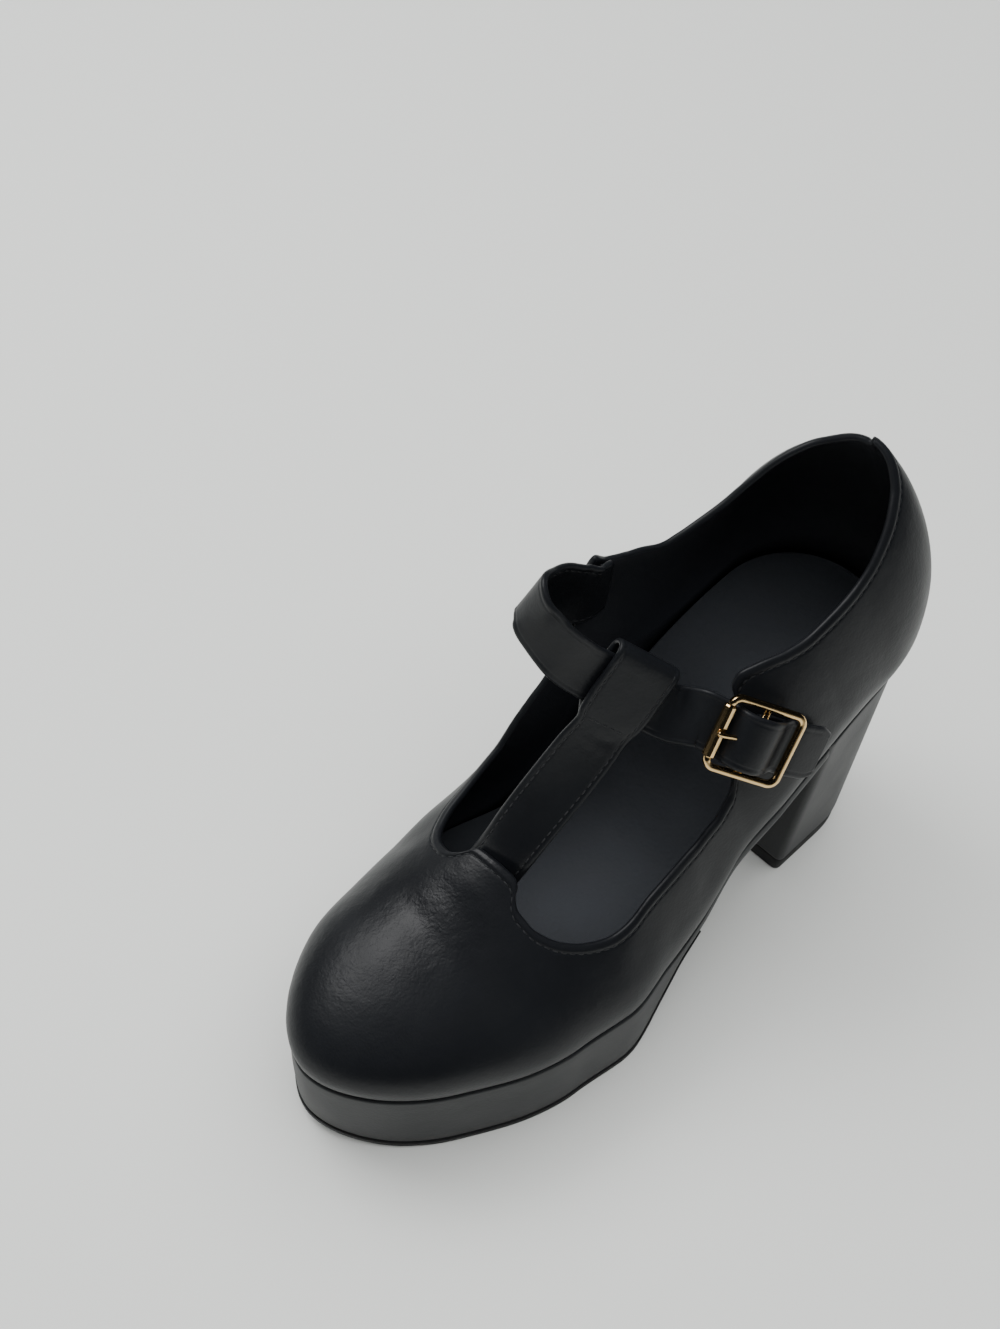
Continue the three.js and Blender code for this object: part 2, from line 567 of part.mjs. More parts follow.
const rowOf = ({ x, along, height, ux, ua, uh, camber }) => ({
  centre: world(x, along, height), up: world(ux, ua, uh), camber,
});

// The strap's own directions where the T-bar crosses it
function crossing() {
  const [before, here, after] = [-1, 0, 1].map((step) => rowOf(STRAP_ROWS[STRAP_CROSSING + step]));
  const run = after.centre.clone().sub(before.centre).normalize();
  const up = here.up.clone().addScaledVector(run, -here.up.dot(run)).normalize();
  return { hub: here.centre, run, up, out: run.clone().cross(up) };
}

// T-bar: up from under the vamp, over the instep strap, round its upper edge and down behind it
function tStrapGeometry() {
  const { hub, run, up, out } = crossing();
  const place = (s, n) => hub.clone().addScaledVector(up, s).addScaledVector(out, n);
  const under = [
    { along: 168, sink: 0, camber: 3 }, { along: 161.5, sink: 0.1, camber: 3 },
    { along: 156.5, sink: 0.7, camber: 2.9 },
  ];
  const rows = under.map(({ along, sink, camber }) => ({
    centre: onLast(along, -0.01, T_BAR.base - sink), up: rowOf(T_BAR_ROWS[0]).up, camber,
  }));
  rows.push(...T_BAR_ROWS.map(rowOf));
  const add = (s, n, half = T_BAR.half) => {
    rows.push({ centre: place(s, n), up: run.clone().multiplyScalar(half), camber: 0 });
  };
  add(-12.6, 2.6, 9.2);
  add(-8.6, T_BAR.fold, 10.2);
  add(-4, T_BAR.fold);
  add(3, T_BAR.fold);
  for (let i = 0; i <= 6; i += 1) {
    const angle = Math.PI * i / 6;
    add(T_BAR.top + T_BAR.fold * Math.sin(angle), T_BAR.fold * Math.cos(angle));
  }
  add(3, -T_BAR.fold);
  add(-4, -T_BAR.fold);
  add(-9, -T_BAR.fold, 10.2);
  add(T_BAR.tail, 0.4 - T_BAR.fold, 9.6);
  return ribbon(smooth(rows, 50), T_BAR.thickness);
}

// The buckle's own frame: s along the strap to its end, t up the bars, rise off the shoe
function buckleFrame() {
  const s = world(...BUCKLE.heading).normalize();
  const upward = world(...BUCKLE.upward);
  const t = upward.addScaledVector(s, -upward.dot(s)).normalize();
  const rise = s.clone().cross(t).normalize();
  const origin = world(...BUCKLE.centre);
  const place = (a, b, c) => origin.clone().addScaledVector(s, a).addScaledVector(t, b).addScaledVector(rise, c);
  return { s, t, rise, place };
}
const buckle = buckleFrame();

// The last's chart point nearest to a point by its outer side
function nearest(point) {
  let best = { along: 80, turn: 0.55 };
  let least = Infinity;
  for (let reach = 1; reach > 1e-3; reach *= 0.5) {
    const { along, turn } = best;
    for (let i = -6; i <= 6; i += 1) {
      for (let j = -6; j <= 6; j += 1) {
        const here = { along: along + 5 * reach * i, turn: THREE.MathUtils.clamp(turn + 0.07 * reach * j, 0.02, 0.98) };
        const distance = lastPoint(here.along, here.turn).distanceTo(point);
        if (distance < least) {
          least = distance;
          best = here;
        }
      }
    }
  }
  return best;
}
// A row laid on the quarter's outside, at a reach along the buckle's heading
function laidRow(reach, lift, half) {
  const guess = nearest(buckle.place(reach, 0, -8));
  const centre = onLast(guess.along, guess.turn, lift);
  return { centre, up: buckle.t.clone().multiplyScalar(half) };
}

// Round or flat bar through local points of the buckle
function bar(points, radius, sides, closed = false, flat = null) {
  const rings = points.map((point, i) => {
    const n = points.length;
    const ahead = closed ? points[(i + 1) % n] : points[Math.min(i + 1, n - 1)];
    const behind = closed ? points[(i + n - 1) % n] : points[Math.max(i - 1, 0)];
    const tangent = ahead.clone().sub(behind).normalize();
    const axis = flat ?? new THREE.Vector3(0, 1, 0);
    const up = axis.clone().addScaledVector(tangent, -axis.dot(tangent)).normalize();
    const out = tangent.clone().cross(up);
    const size = typeof radius === 'function' ? radius(i) : [radius, radius];
    return Array.from({ length: sides }, (_, k) => {
      const angle = 2 * Math.PI * (k + 0.5) / sides;
      return point.clone().addScaledVector(out, size[0] * Math.cos(angle)).addScaledVector(up, size[1] * Math.sin(angle));
    });
  });
  return loft(rings.map((ring) => ring.map((p) => buckle.place(p.x, p.y, p.z))), closed);
}
const local = (s, t, rise) => new THREE.Vector3(s, t, rise);

function buckleFrameGeometry() {
  const a = (BUCKLE.length - BUCKLE.bar) / 2;
  const b = (BUCKLE.width - BUCKLE.bar) / 2;
  const r = BUCKLE.corner - BUCKLE.bar / 2;
  const points = [];
  const sizes = [];
  [[1, 1, 0], [-1, 1, 90], [-1, -1, 180], [1, -1, 270]].forEach(([ps, pt, start]) => {
    for (let i = 0; i <= 5; i += 1) {
      const angle = THREE.MathUtils.degToRad(start + 18 * i);
      points.push(local(ps * (a - r) + r * Math.cos(angle), pt * (b - r) + r * Math.sin(angle), 0));
      const onPin = (ps < 0 && pt > 0 && i === 5) || (ps < 0 && pt < 0 && i === 0);
      sizes.push(onPin ? [BUCKLE.pin, BUCKLE.pin] : [BUCKLE.bar / 2, BUCKLE.depth / 2]);
    }
  });
  const ring = solid(bar(points, (i) => sizes[i], 8, true, new THREE.Vector3(0, 0, 1)));
  const ends = [local(0, -b, -BUCKLE.drop), local(0, b, -BUCKLE.drop)];
  const centre = solid(bar(ends, BUCKLE.hinge, 10, false, new THREE.Vector3(0, 0, 1)));
  return meshGeometry(ring.add(centre));
}

function rollerGeometry() {
  const a = (BUCKLE.length - BUCKLE.bar) / 2;
  const half = BUCKLE.width / 2 - BUCKLE.corner - 0.2;
  const sides = 14;
  const circle = (radius, t) => Array.from({ length: sides }, (_, k) => {
    const angle = 2 * Math.PI * k / sides;
    return buckle.place(-a + radius * Math.cos(angle), t, radius * Math.sin(angle));
  });
  const inner = BUCKLE.pin + GAP;
  return loft([circle(BUCKLE.roller, -half), circle(BUCKLE.roller, half), circle(inner, half), circle(inner, -half)], true);
}

// The prong's middle line: a hook round the centre bar, then forward under the strap to the roller
function prongLine() {
  const radius = BUCKLE.hinge + GAP + BUCKLE.prong;
  const points = [];
  for (let i = 0; i <= 8; i += 1) {
    const angle = THREE.MathUtils.degToRad(-140 + 230 * i / 8);
    points.push(local(radius * Math.cos(angle), 0, -BUCKLE.drop + radius * Math.sin(angle)));
  }
  [[-3, 1.75], [-5.6, 1.9], [-7.8, 2.3], [-9.6, 2.85], [-11.2, 2.98], [-12.6, 2.7]].forEach(([s, rise]) => points.push(local(s, 0, rise)));
  return points;
}
function prongGeometry() {
  return bar(prongLine(), BUCKLE.prong, 8);
}

// Instep strap: free over the foot, through the buckle, and its end flat on the quarter
function instepStrapGeometry() {
  const half = STRAP.half;
  const inside = STRAP_IN_BUCKLE.map(({ s, rise }) => ({ centre: buckle.place(s, 0, rise), up: buckle.t.clone().multiplyScalar(half) }));
  const tail = TAIL.reaches.map((reach, i) => laidRow(reach, TAIL.lift, i === 3 ? half * 0.86 : half));
  const strap = solid(ribbon(smooth([...STRAP_ROWS.map(rowOf), ...inside, ...tail], 84), STRAP.thickness));
  const hole = solid(bar([local(-3.4, 0, 1.75), local(-7.6, 0, 2.25), local(-10.4, 0, 2.95)], BUCKLE.prong + GAP + 0.15, 10));
  const spare = solid(bar([local(3.4, 0, -1), local(4.4, 0, 7)], 0.9, 10));
  return meshGeometry(strap.subtract(hole).subtract(spare));
}

// Chape: a short tab on the quarter that turns round the centre bar, with a slot for the prong
function chapeGeometry() {
  const radius = BUCKLE.hinge + GAP + CHAPE.thickness / 2;
  const half = buckle.t.clone().multiplyScalar(CHAPE.half);
  const rows = CHAPE.reaches.map((reach) => laidRow(reach, CHAPE.thickness / 2 + 0.4, CHAPE.half));
  rows.push({ centre: buckle.place(3.6, 0, -4.6), up: half.clone() });
  for (let i = 0; i <= 8; i += 1) {
    const angle = THREE.MathUtils.degToRad(-75 - 215 * i / 8);
    rows.push({ centre: buckle.place(radius * Math.cos(angle), 0, -BUCKLE.drop + radius * Math.sin(angle)), up: half.clone() });
  }
  const tab = solid(ribbon(rows, CHAPE.thickness));
  const box = new THREE.BoxGeometry(7.2, CHAPE.slot, 8);
  const matrix = new THREE.Matrix4().makeBasis(buckle.s, buckle.t, buckle.rise).setPosition(buckle.place(-1.4, 0, -BUCKLE.drop));
  ['normal', 'uv'].forEach((name) => box.deleteAttribute(name));
  return meshGeometry(tab.subtract(solid(mergeVertices(box.applyMatrix4(matrix)))));
}

// Materials
const finish = (color, roughness, metalness = 0) => new THREE.MeshStandardMaterial({ color, roughness, metalness });
const leather = finish('#17191b', 0.42);
const wrap = finish('#2a2b2c', 0.5);
const rubber = finish('#1b1b1c', 0.8);
const lining = finish('#232526', 0.85);
const gold = finish('#d9b878', 0.22, 1);

const shoe = new THREE.Group();
shoe.name = 'platform_shoe';
shoe.position.set(0, TREAD_CENTRE.along, 0);
function addPiece(name, geometry, material) {
  const mesh = new THREE.Mesh(geometry, material);
  mesh.name = name;
  shoe.add(mesh);
}
addPiece('upper', upperGeometry(), leather);
addPiece('platform', platformGeometry(), wrap);
addPiece('outsole', outsoleGeometry(), rubber);
addPiece('heel_block', heelBlockGeometry(), wrap);
addPiece('heel_tip', heelTipGeometry(), rubber);
addPiece('insole', insoleGeometry(), lining);
addPiece('t_strap', tStrapGeometry(), leather);
addPiece('instep_strap', instepStrapGeometry(), leather);
addPiece('buckle_frame', buckleFrameGeometry(), gold);
addPiece('buckle_roller', rollerGeometry(), gold);
addPiece('buckle_prong', prongGeometry(), gold);
addPiece('buckle_chape', chapeGeometry(), leather);

export default shoe;
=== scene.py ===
"""Looks of a left platform shoe with a T-bar, a buckled instep strap and a wrapped block heel.

Shapes are worked out in millimetres: x to the outer side, y from the toe to the heel with 0 at the
back of the counter, z up from the floor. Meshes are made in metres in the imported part's frame.
"""

import logging
import math
from collections.abc import Callable, Sequence
from dataclasses import dataclass, field
from enum import Enum
from typing import NamedTuple

import bmesh
import bpy
import numpy as np
from mathutils import Matrix, Vector

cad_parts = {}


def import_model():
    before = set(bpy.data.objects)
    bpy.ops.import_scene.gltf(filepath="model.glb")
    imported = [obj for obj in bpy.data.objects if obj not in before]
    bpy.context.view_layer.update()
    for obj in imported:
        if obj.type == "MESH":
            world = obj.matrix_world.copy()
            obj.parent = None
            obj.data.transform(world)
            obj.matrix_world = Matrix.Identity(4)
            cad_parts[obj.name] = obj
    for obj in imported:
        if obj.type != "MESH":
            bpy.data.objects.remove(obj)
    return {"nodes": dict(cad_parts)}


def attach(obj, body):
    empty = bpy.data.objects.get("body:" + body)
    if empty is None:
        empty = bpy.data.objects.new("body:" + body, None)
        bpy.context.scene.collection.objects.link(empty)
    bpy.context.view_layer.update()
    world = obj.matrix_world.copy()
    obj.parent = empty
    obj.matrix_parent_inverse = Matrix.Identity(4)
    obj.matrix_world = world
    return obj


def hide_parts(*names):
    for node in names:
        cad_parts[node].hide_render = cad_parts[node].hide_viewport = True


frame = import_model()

Array = np.ndarray
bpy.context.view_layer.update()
BODY = "root"
MM = 0.001
# Middle of the heel's tread, forward of the counter's back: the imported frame's origin
TREAD_CENTRE = 32.0
# A noise texture's values mostly lie between these
NOISE_LOW, NOISE_HIGH = 0.3, 0.7
LOG = logging.getLogger("shoe")


class Section(NamedTuple):
    """One cross section of the last, in mm: crests, half widths and squareness of its two sides."""

    along: float
    feather: float
    lateral_crest: float
    medial_crest: float
    lateral: float
    medial: float
    ridge: float
    lean: float
    lateral_power: float
    medial_power: float


# The last from heel to toe
SECTIONS = (
    Section(-2, 88, 200, 196, 35.4, 33, 0.5, 0.17, 2.5, 2.5),
    Section(20, 86.5, 162, 164, 35.4, 33, 0.5, 0.1, 1.96, 1.98),
    Section(40, 83.5, 147.5, 158.5, 36.5, 33.5, 0.5, 0.16, 1.55, 1.84),
    Section(58, 78, 135, 163, 37.5, 34, 0.5, 0.18, 1.55, 2.26),
    Section(75, 67.5, 120, 170.5, 38, 34.5, 0, 0.13, 1.7, 3.36),
    Section(92, 50.5, 105, 164.5, 38.8, 34.5, -2.8, 0.06, 1.75, 4.1),
    Section(108, 37.3, 101, 134.5, 40.4, 36.5, -1.6, 0.05, 1.45, 3.45),
    Section(125, 31.6, 93.5, 97, 45.8, 38.3, -4.8, 0.03, 1.35, 2.2),
    Section(145, 30.8, 75.6, 75.6, 51.7, 40.6, -8.1, 0, 1.4, 1.77),
    Section(163, 30.8, 65.6, 65.6, 50.6, 38.4, -9.8, 0, 1.55, 1.72),
    Section(180, 30.8, 59.5, 59.5, 47.4, 39.6, -8.8, 0, 1.9, 1.9),
    Section(200, 31.5, 57.5, 57.5, 45, 40.6, -9.3, 0, 2.25, 2.25),
    Section(224, 33, 57, 57, 45, 39.5, -10.5, 0, 2.3, 2.3),
)
# Underside of the platform and its arch: place along the foot and height
UNDERSIDE = (
    (57, 72.5), (75, 61.0), (92, 43.5), (104, 33.5), (112, 29.0), (117, 25.5), (122, 18.0), (127, 10.5),
    (133, 4.6), (140, 2.3), (190, 2.3), (212, 3.6), (229, 7.5),
)


class Edge(NamedTuple):
    """A point of the upper's top edge: its foot on the lower edge and its place on the last."""

    foot: float
    along: float
    turn: float


# Outer side, from the back seam over collar, buckle wing and cut-out to the front of the vamp
LATERAL_EDGE = (
    Edge(-18.8, 8.5, 0), Edge(-13, 9.6, 0.085), Edge(-6, 12.2, 0.175), Edge(2, 16.8, 0.254),
    Edge(11, 21.5, 0.305), Edge(21, 27, 0.352), Edge(33, 34.5, 0.386), Edge(42, 43, 0.394),
    Edge(52, 53.3, 0.385), Edge(61, 62, 0.343), Edge(68, 70.6, 0.274), Edge(73, 76.6, 0.229),
    Edge(77, 79.3, 0.24), Edge(80, 80.6, 0.285), Edge(83, 83.2, 0.359), Edge(87, 86.4, 0.44),
    Edge(91, 89.6, 0.52), Edge(95, 93, 0.572), Edge(99, 97.2, 0.576), Edge(105, 104, 0.546),
    Edge(113, 112.5, 0.523), Edge(122, 122.6, 0.515), Edge(132, 131.9, 0.512), Edge(142, 140.1, 0.491),
    Edge(153, 146.9, 0.455), Edge(163, 151.9, 0.414), Edge(178, 156.4, 0.35), Edge(193, 159, 0.268),
    Edge(208, 159.2, 0.205), Edge(221, 157.8, 0.16), Edge(231, 155.4, 0.132), Edge(240, 154.4, 0.1),
    Edge(251, 154.6, 0.05), Edge(266.7, 154.8, 0),
)
# Inner side, from the back seam over collar, strap tab and cut-out to the front of the vamp
MEDIAL_EDGE = (
    Edge(-18.8, 8.5, 0), Edge(-13, 10.2, 0.075), Edge(-6, 14, 0.145), Edge(2, 20, 0.218),
    Edge(11, 25.5, 0.308), Edge(21, 30.5, 0.375), Edge(33, 37, 0.441), Edge(43, 45.5, 0.534),
    Edge(53, 54.6, 0.641), Edge(63, 64.5, 0.728), Edge(72, 74, 0.786), Edge(79, 82, 0.79),
    Edge(85, 88.5, 0.765), Edge(89, 92.2, 0.79), Edge(92, 94.4, 0.83), Edge(94, 94.6, 0.868),
    Edge(96, 92.8, 0.898), Edge(98, 93.4, 0.915), Edge(101, 97.8, 0.908), Edge(106, 104, 0.88),
    Edge(113, 112, 0.822), Edge(121, 121.5, 0.695), Edge(131, 130.9, 0.596), Edge(142, 141, 0.503),
    Edge(155, 149.6, 0.447), Edge(170, 155.2, 0.388), Edge(187, 158.8, 0.305), Edge(203, 159.8, 0.225),
    Edge(217, 158.4, 0.162), Edge(228, 156, 0.122), Edge(238, 154.9, 0.1), Edge(250, 154.8, 0.05),
    Edge(266.7, 154.8, 0),
)


class Row(NamedTuple):
    """A row of a strip in mm: its middle, the way to its upper edge, and how far its edges hang."""

    x: float
    along: float
    height: float
    ux: float
    ua: float
    uh: float
    camber: float = 0.0


# The T-bar's free stretch between vamp and loop
T_BAR_ROWS = (
    Row(-8.7, 150.0, 70.3, 8.2, -1.4, -1.6, 1.6), Row(-7.9, 142.5, 77.9, 8.0, -2.3, -2.3, 0.5),
    Row(-6.7, 130.5, 89.3, 7.3, -3.8, -3.6), Row(-5.9, 123.0, 96.6, 6.6, -4.7, -4.5),
)
# The instep strap from inside the medial quarter to the buckle
STRAP_ROWS = (
    Row(-31.2, 90.0, 121.0, 0.9, -1.2, 10.8), Row(-31.9, 96.4, 121.1, 1.0, -1.0, 11.7),
    Row(-34.7, 103.4, 125.5, 1.5, -1.0, 11.2), Row(-36.1, 109.2, 130.8, 2.2, -1.8, 9.2),
    Row(-36.0, 114.3, 133.6, 2.7, -2.6, 8.0), Row(-34.5, 118.6, 135.3, 2.7, -2.5, 8.0),
    Row(-30.7, 121.4, 133.6, 2.4, -2.3, 7.9), Row(-25.8, 121.0, 128.6, 2.0, -2.8, 7.8),
    Row(-20.8, 119.4, 124.0, 1.3, -3.5, 7.6), Row(-16.6, 116.4, 119.2, 1.0, -4.4, 7.1),
    Row(-11.6, 112.0, 114.7, 0.6, -5.2, 6.6), Row(-6.6, 107.6, 110.4, 0.5, -5.6, 6.3),
    Row(-1.6, 103.0, 105.9, 0.2, -6.0, 6.0), Row(4.4, 99.0, 102.9, 0, -6.3, 5.7),
)
# The strap's row that the T-bar loops over
CROSSING = 11
# The strap's middle in the buckle: along its heading, and above its frame
STRAP_IN_BUCKLE = (
    (-14.6, -5.6), (-12.2, -4.3), (-10.0, -3.3), (-8.3, -2.1), (-7.4, -0.2), (-6.2, 1.9),
    (-4.2, 3.5), (-1.4, 4.1), (2, 3.6), (5.2, 1.2), (7.9, -1.9), (10.1, -3.7),
)


def world(x: float, along: float, height: float) -> Array:
    """A point or way of the shoe as an array in mm."""
    return np.array([x, -along, height], float)


def unit(v: Array) -> Array:
    """Vectors scaled to length 1."""
    return v / np.maximum(np.linalg.norm(v, axis=-1, keepdims=True), 1e-12)


def linear(code: str) -> tuple[float, float, float, float]:
    """Turns an sRGB hex colour into linear values.

    Args:
        code: Six hex digits after a hash sign.

    Returns:
        Red, green, blue and alpha.
    """
    parts = [int(code[i:i + 2], 16) / 255 for i in (1, 3, 5)]
    r, g, b = (c / 12.92 if c <= 0.04045 else ((c + 0.055) / 1.055) ** 2.4 for c in parts)
    return r, g, b, 1.0


class Curve:
    """Shape-keeping cubic through the points of a table."""

    def __init__(self, x: Sequence[float], y: Sequence[float]) -> None:
        """Works out the tangents once.

        Args:
            x: Rising places.
            y: Values there.
        """
        self.x, self.y = np.array(x, float), np.array(y, float)
        step = np.diff(self.x)
        slope = np.diff(self.y) / step
        before, after = slope[:-1], slope[1:]
        a, b = 2 * step[1:] + step[:-1], step[1:] + 2 * step[:-1]
        safe = np.where(before * after > 0, before, 1.0), np.where(before * after > 0, after, 1.0)
        inner = np.where(before * after > 0, (a + b) / (a / safe[0] + b / safe[1]), 0.0)
        self.tangent = np.concatenate([slope[:1], inner, slope[-1:]])

    def __call__(self, value: Array | float) -> Array:
        """Reads the curve, held level beyond its ends.

        Args:
            value: One or many places.

        Returns:
            The values there.
        """
        at = np.clip(value, self.x[0], self.x[-1])
        i = np.clip(np.searchsorted(self.x, at, side="right") - 1, 0, len(self.x) - 2)
        h = self.x[i + 1] - self.x[i]
        t = (at - self.x[i]) / h
        return ((1 + 2 * t) * (1 - t) ** 2 * self.y[i] + t * (1 - t) ** 2 * h * self.tangent[i]
                + t * t * (3 - 2 * t) * self.y[i + 1] + t * t * (t - 1) * h * self.tangent[i + 1])


@dataclass(frozen=True)
class Last:
    """The foot's form that the upper is drawn over, as a function of a chart: along and turn."""

    length: float = 229.0
    heel_centre: float = 33.0
    toe_centre: float = 163.0
    toe_power: float = 1.83
    tuck: float = 3.2
    tuck_height: float = 14.0
    crown: float = 0.03
    bulge: float = 3.6
    bulge_height: float = 64.0
    bulge_front: float = 54.0
    bulge_run: float = 40.0
    rim: float = 0.985
    probe_along: float = 0.6
    probe_turn: float = 0.012
    columns: dict[str, Curve] = field(default_factory=lambda: {
        name: Curve([s.along for s in SECTIONS], [getattr(s, name) for s in SECTIONS])
        for name in Section._fields[1:]})

    def cap(self, along: Array, turn: Array) -> tuple[Array, ...]:
        """Finds where chart points lie relative to the rounds that close the form.

        Args:
            along: Places along the foot in mm.
            turn: 0 at the ridge, 1 and -1 at the lower edges.

        Returns:
            The round's hub and reach, the share of the way out, the way as two parts, and the plan's
            stretch that way.
        """
        front, back = along > self.toe_centre, along < self.heel_centre
        hub = np.where(front, self.toe_centre, np.where(back, self.heel_centre, along))
        reach = np.where(front, self.length - self.toe_centre, np.where(back, self.heel_centre, 0.0))
        share = np.where(reach > 0, (along - hub) / np.maximum(reach * math.pi / 2, 1e-9), 0.0)
        size = np.hypot(share, turn)
        m = np.minimum(size, 1.0)
        c = np.where(size > 1e-9, share / np.maximum(size, 1e-9), 0.0)
        d = np.where(size > 1e-9, turn / np.maximum(size, 1e-9), 1.0)
        power = np.where(front, 2 + (self.toe_power - 2) * m * m, 2.0)
        r = (np.abs(c) ** power + np.abs(d) ** power) ** (-1 / power)
        return hub, reach, m, c, d, r

    def point(self, along: Array, turn: Array) -> Array:
        """Finds points of the last's surface.

        Args:
            along: Places along the foot in mm.
            turn: 0 at the ridge, 1 at the lateral lower edge, -1 at the medial one.

        Returns:
            Points in mm, one row each.
        """
        along, turn = np.broadcast_arrays(np.asarray(along, float), np.asarray(turn, float))
        hub, reach, m, c, d, r = self.cap(along, turn)
        rho = np.sin(math.pi * m / 2)
        u = hub + reach * rho * r * c
        get = {name: curve(u) for name, curve in self.columns.items()}
        outer = turn >= 0
        crest = np.where(outer, get["lateral_crest"], get["medial_crest"])
        power = np.where(outer, get["lateral_power"], get["medial_power"])
        half = np.where(outer, get["lateral"], get["medial"])
        low, high = self.crown ** (power / 2), (1 + self.crown) ** (power / 2)
        crowned = ((rho * rho + self.crown) ** (power / 2) - low) / (high - low)
        rise = (crest - get["feather"]) * np.maximum(0, 1 - crowned) ** (1 / power)
        behind = np.clip((self.bulge_front - u) / self.bulge_run, 0, 1)
        swell = self.bulge * behind * np.sin(math.pi * np.minimum(rise / self.bulge_height, 1))
        swell -= self.tuck * np.maximum(0, 1 - rise / self.tuck_height) ** 2
        x = get["ridge"] + rho * r * d * half + d * swell
        forward = u + c * swell + get["lean"] * rise
        return np.stack([x, -forward, get["feather"] + rise], axis=-1)

    def outward(self, along: float, turn: float) -> tuple[float, float]:
        """The forward and sideways parts of the way out of the form in plan."""
        c, d = self.cap(np.array(along), np.array(turn))[3:5]
        return float(c), float(d)

    def normal(self, along: Array, turn: Array) -> Array:
        """Finds outward normals, a little inside the lower edge where a point is on it.

        Args:
            along: Places along the foot in mm.
            turn: 0 at the ridge, 1 and -1 at the lower edges.

        Returns:
            Unit normals, one row each.
        """
        along, turn = np.broadcast_arrays(np.asarray(along, float), np.asarray(turn, float))
        hub, reach, m, *_ = self.cap(along, turn)
        pull = np.where(m > self.rim, self.rim / np.maximum(m, 1e-9), 1.0)
        a = np.where(reach > 0, hub + (along - hub) * pull, along)
        b = turn * pull
        du = self.point(a + self.probe_along, b) - self.point(a - self.probe_along, b)
        dv = self.point(a, b + self.probe_turn) - self.point(a, b - self.probe_turn)
        return -unit(np.cross(dv, du))

    def lifted(self, along: Array, turn: Array, lift: Array | float) -> Array:
        """Points at a height over the surface."""
        return self.point(along, turn) + self.normal(along, turn) * np.asarray(lift)[..., None]

    def foot(self, foot: Array, side: int) -> tuple[Array, Array]:
        """Finds points on the lower edge from their distance along it.

        Args:
            foot: Distances in mm.
            side: 1 for the lateral side, -1 for the medial one.

        Returns:
            Their places along the foot and their turns.
        """
        front, back = foot > self.toe_centre, foot <= self.heel_centre
        centre = np.where(front, self.toe_centre, self.heel_centre)
        reach = np.where(front, self.length - self.toe_centre, self.heel_centre)
        angle = (foot - centre) / reach
        rounded = front | back
        along = np.where(rounded, centre + reach * math.pi / 2 * np.sin(angle), foot)
        return along, np.where(rounded, side * np.cos(angle), side)

    def nearest(self, target: Array) -> tuple[float, float]:
        """Searches the outer side for the chart point nearest to a point.

        Args:
            target: The point in mm.

        Returns:
            Its place along the foot and its turn.
        """
        best, reach = (80.0, 0.55), 1.0
        span_along, span_turn = 5.0, 0.07
        grid = np.meshgrid(np.arange(-6, 7), np.arange(-6, 7), indexing="ij")
        while reach > 1e-3:
            along = best[0] + span_along * reach * grid[0].ravel()
            turn = np.clip(best[1] + span_turn * reach * grid[1].ravel(), 0.02, 0.98)
            k = int(np.argmin(np.linalg.norm(self.point(along, turn) - target, axis=1)))
            best, reach = (float(along[k]), float(turn[k])), reach / 2
        return best


LAST = Last()
UNDER = Curve([p[0] for p in UNDERSIDE], [p[1] for p in UNDERSIDE])


@dataclass(frozen=True)
class Fold:
    """A soft trough, or with a negative depth a ridge, between two points of the leather in mm."""

    start: tuple[float, float, float]
    end: tuple[float, float, float]
    depth: float
    width: float
    end_share: float = 0.12
    lip: float = 0.45
    lip_at: float = 1.9
    lip_width: float = 0.9

    def lift(self, points: Array) -> Array:
        """Works out how far the fold lifts or lowers points.

        Args:
            points: Points in mm.

        Returns:
            A height for each in mm.
        """
        a, b = world(*self.start), world(*self.end)
        t = np.clip(((points - a) @ (b - a)) / ((b - a) @ (b - a)), 0, 1)
        gap = np.linalg.norm(points - (a + t[..., None] * (b - a)), axis=-1) / self.width
        fade = np.clip(4 * t * (1 - t) + self.end_share, 0, 1)
        raised = self.lip * np.exp(-((gap - self.lip_at) / self.lip_width) ** 2)
        return -self.depth * fade * (np.exp(-gap ** 2) - raised)


def relief(points: Array, folds: Sequence[Fold]) -> Array:
    """Sum of the folds' heights at points."""
    return sum((fold.lift(points) for fold in folds), np.zeros(points.shape[:-1]))


def crumpling(points: Array, spots: Sequence[tuple[float, float, float, float]], least: float) -> Array:
    """Works out how much the leather is crumpled.

    Args:
        points: Points in mm.
        spots: Places with their sizes in mm.
        least: What all the leather has.

    Returns:
        A share for each point.
    """
    share = np.full(points.shape[:-1], least)
    for x, y, z, size in spots:
        share += np.exp(-(np.linalg.norm(points - world(x, y, z), axis=-1) / size) ** 2)
    return share


def put(tree: bpy.types.NodeTree, kind: str, inputs: dict | None = None, links: dict | None = None,
        **settings: object) -> bpy.types.Node:
    """Adds a shader node.

    Args:
        tree: The material's node tree.
        kind: Blender's name of the node type.
        inputs: Socket values by name or number.
        links: Sockets by name or number, each with the output socket that feeds it.
        **settings: The node's own properties.

    Returns:
        The new node.
    """
    node = tree.nodes.new(kind)
    for name, value in settings.items():
        setattr(node, name, value)
    for name, value in (inputs or {}).items():
        node.inputs[name].default_value = value
    for name, source in (links or {}).items():
        tree.links.new(source, node.inputs[name])
    return node


def per_metre(size_mm: float) -> float:
    """Texture scale for a pattern of that size."""
    return 1 / (size_mm * MM)


def link(name: str, data: bpy.types.ID) -> bpy.types.Object:
    """Puts an object with its data in the scene.

    Args:
        name: The object's name.
        data: Its mesh, light or camera.

    Returns:
        The object.
    """
    obj = bpy.data.objects.new(name, data)
    bpy.context.scene.collection.objects.link(obj)
    return obj


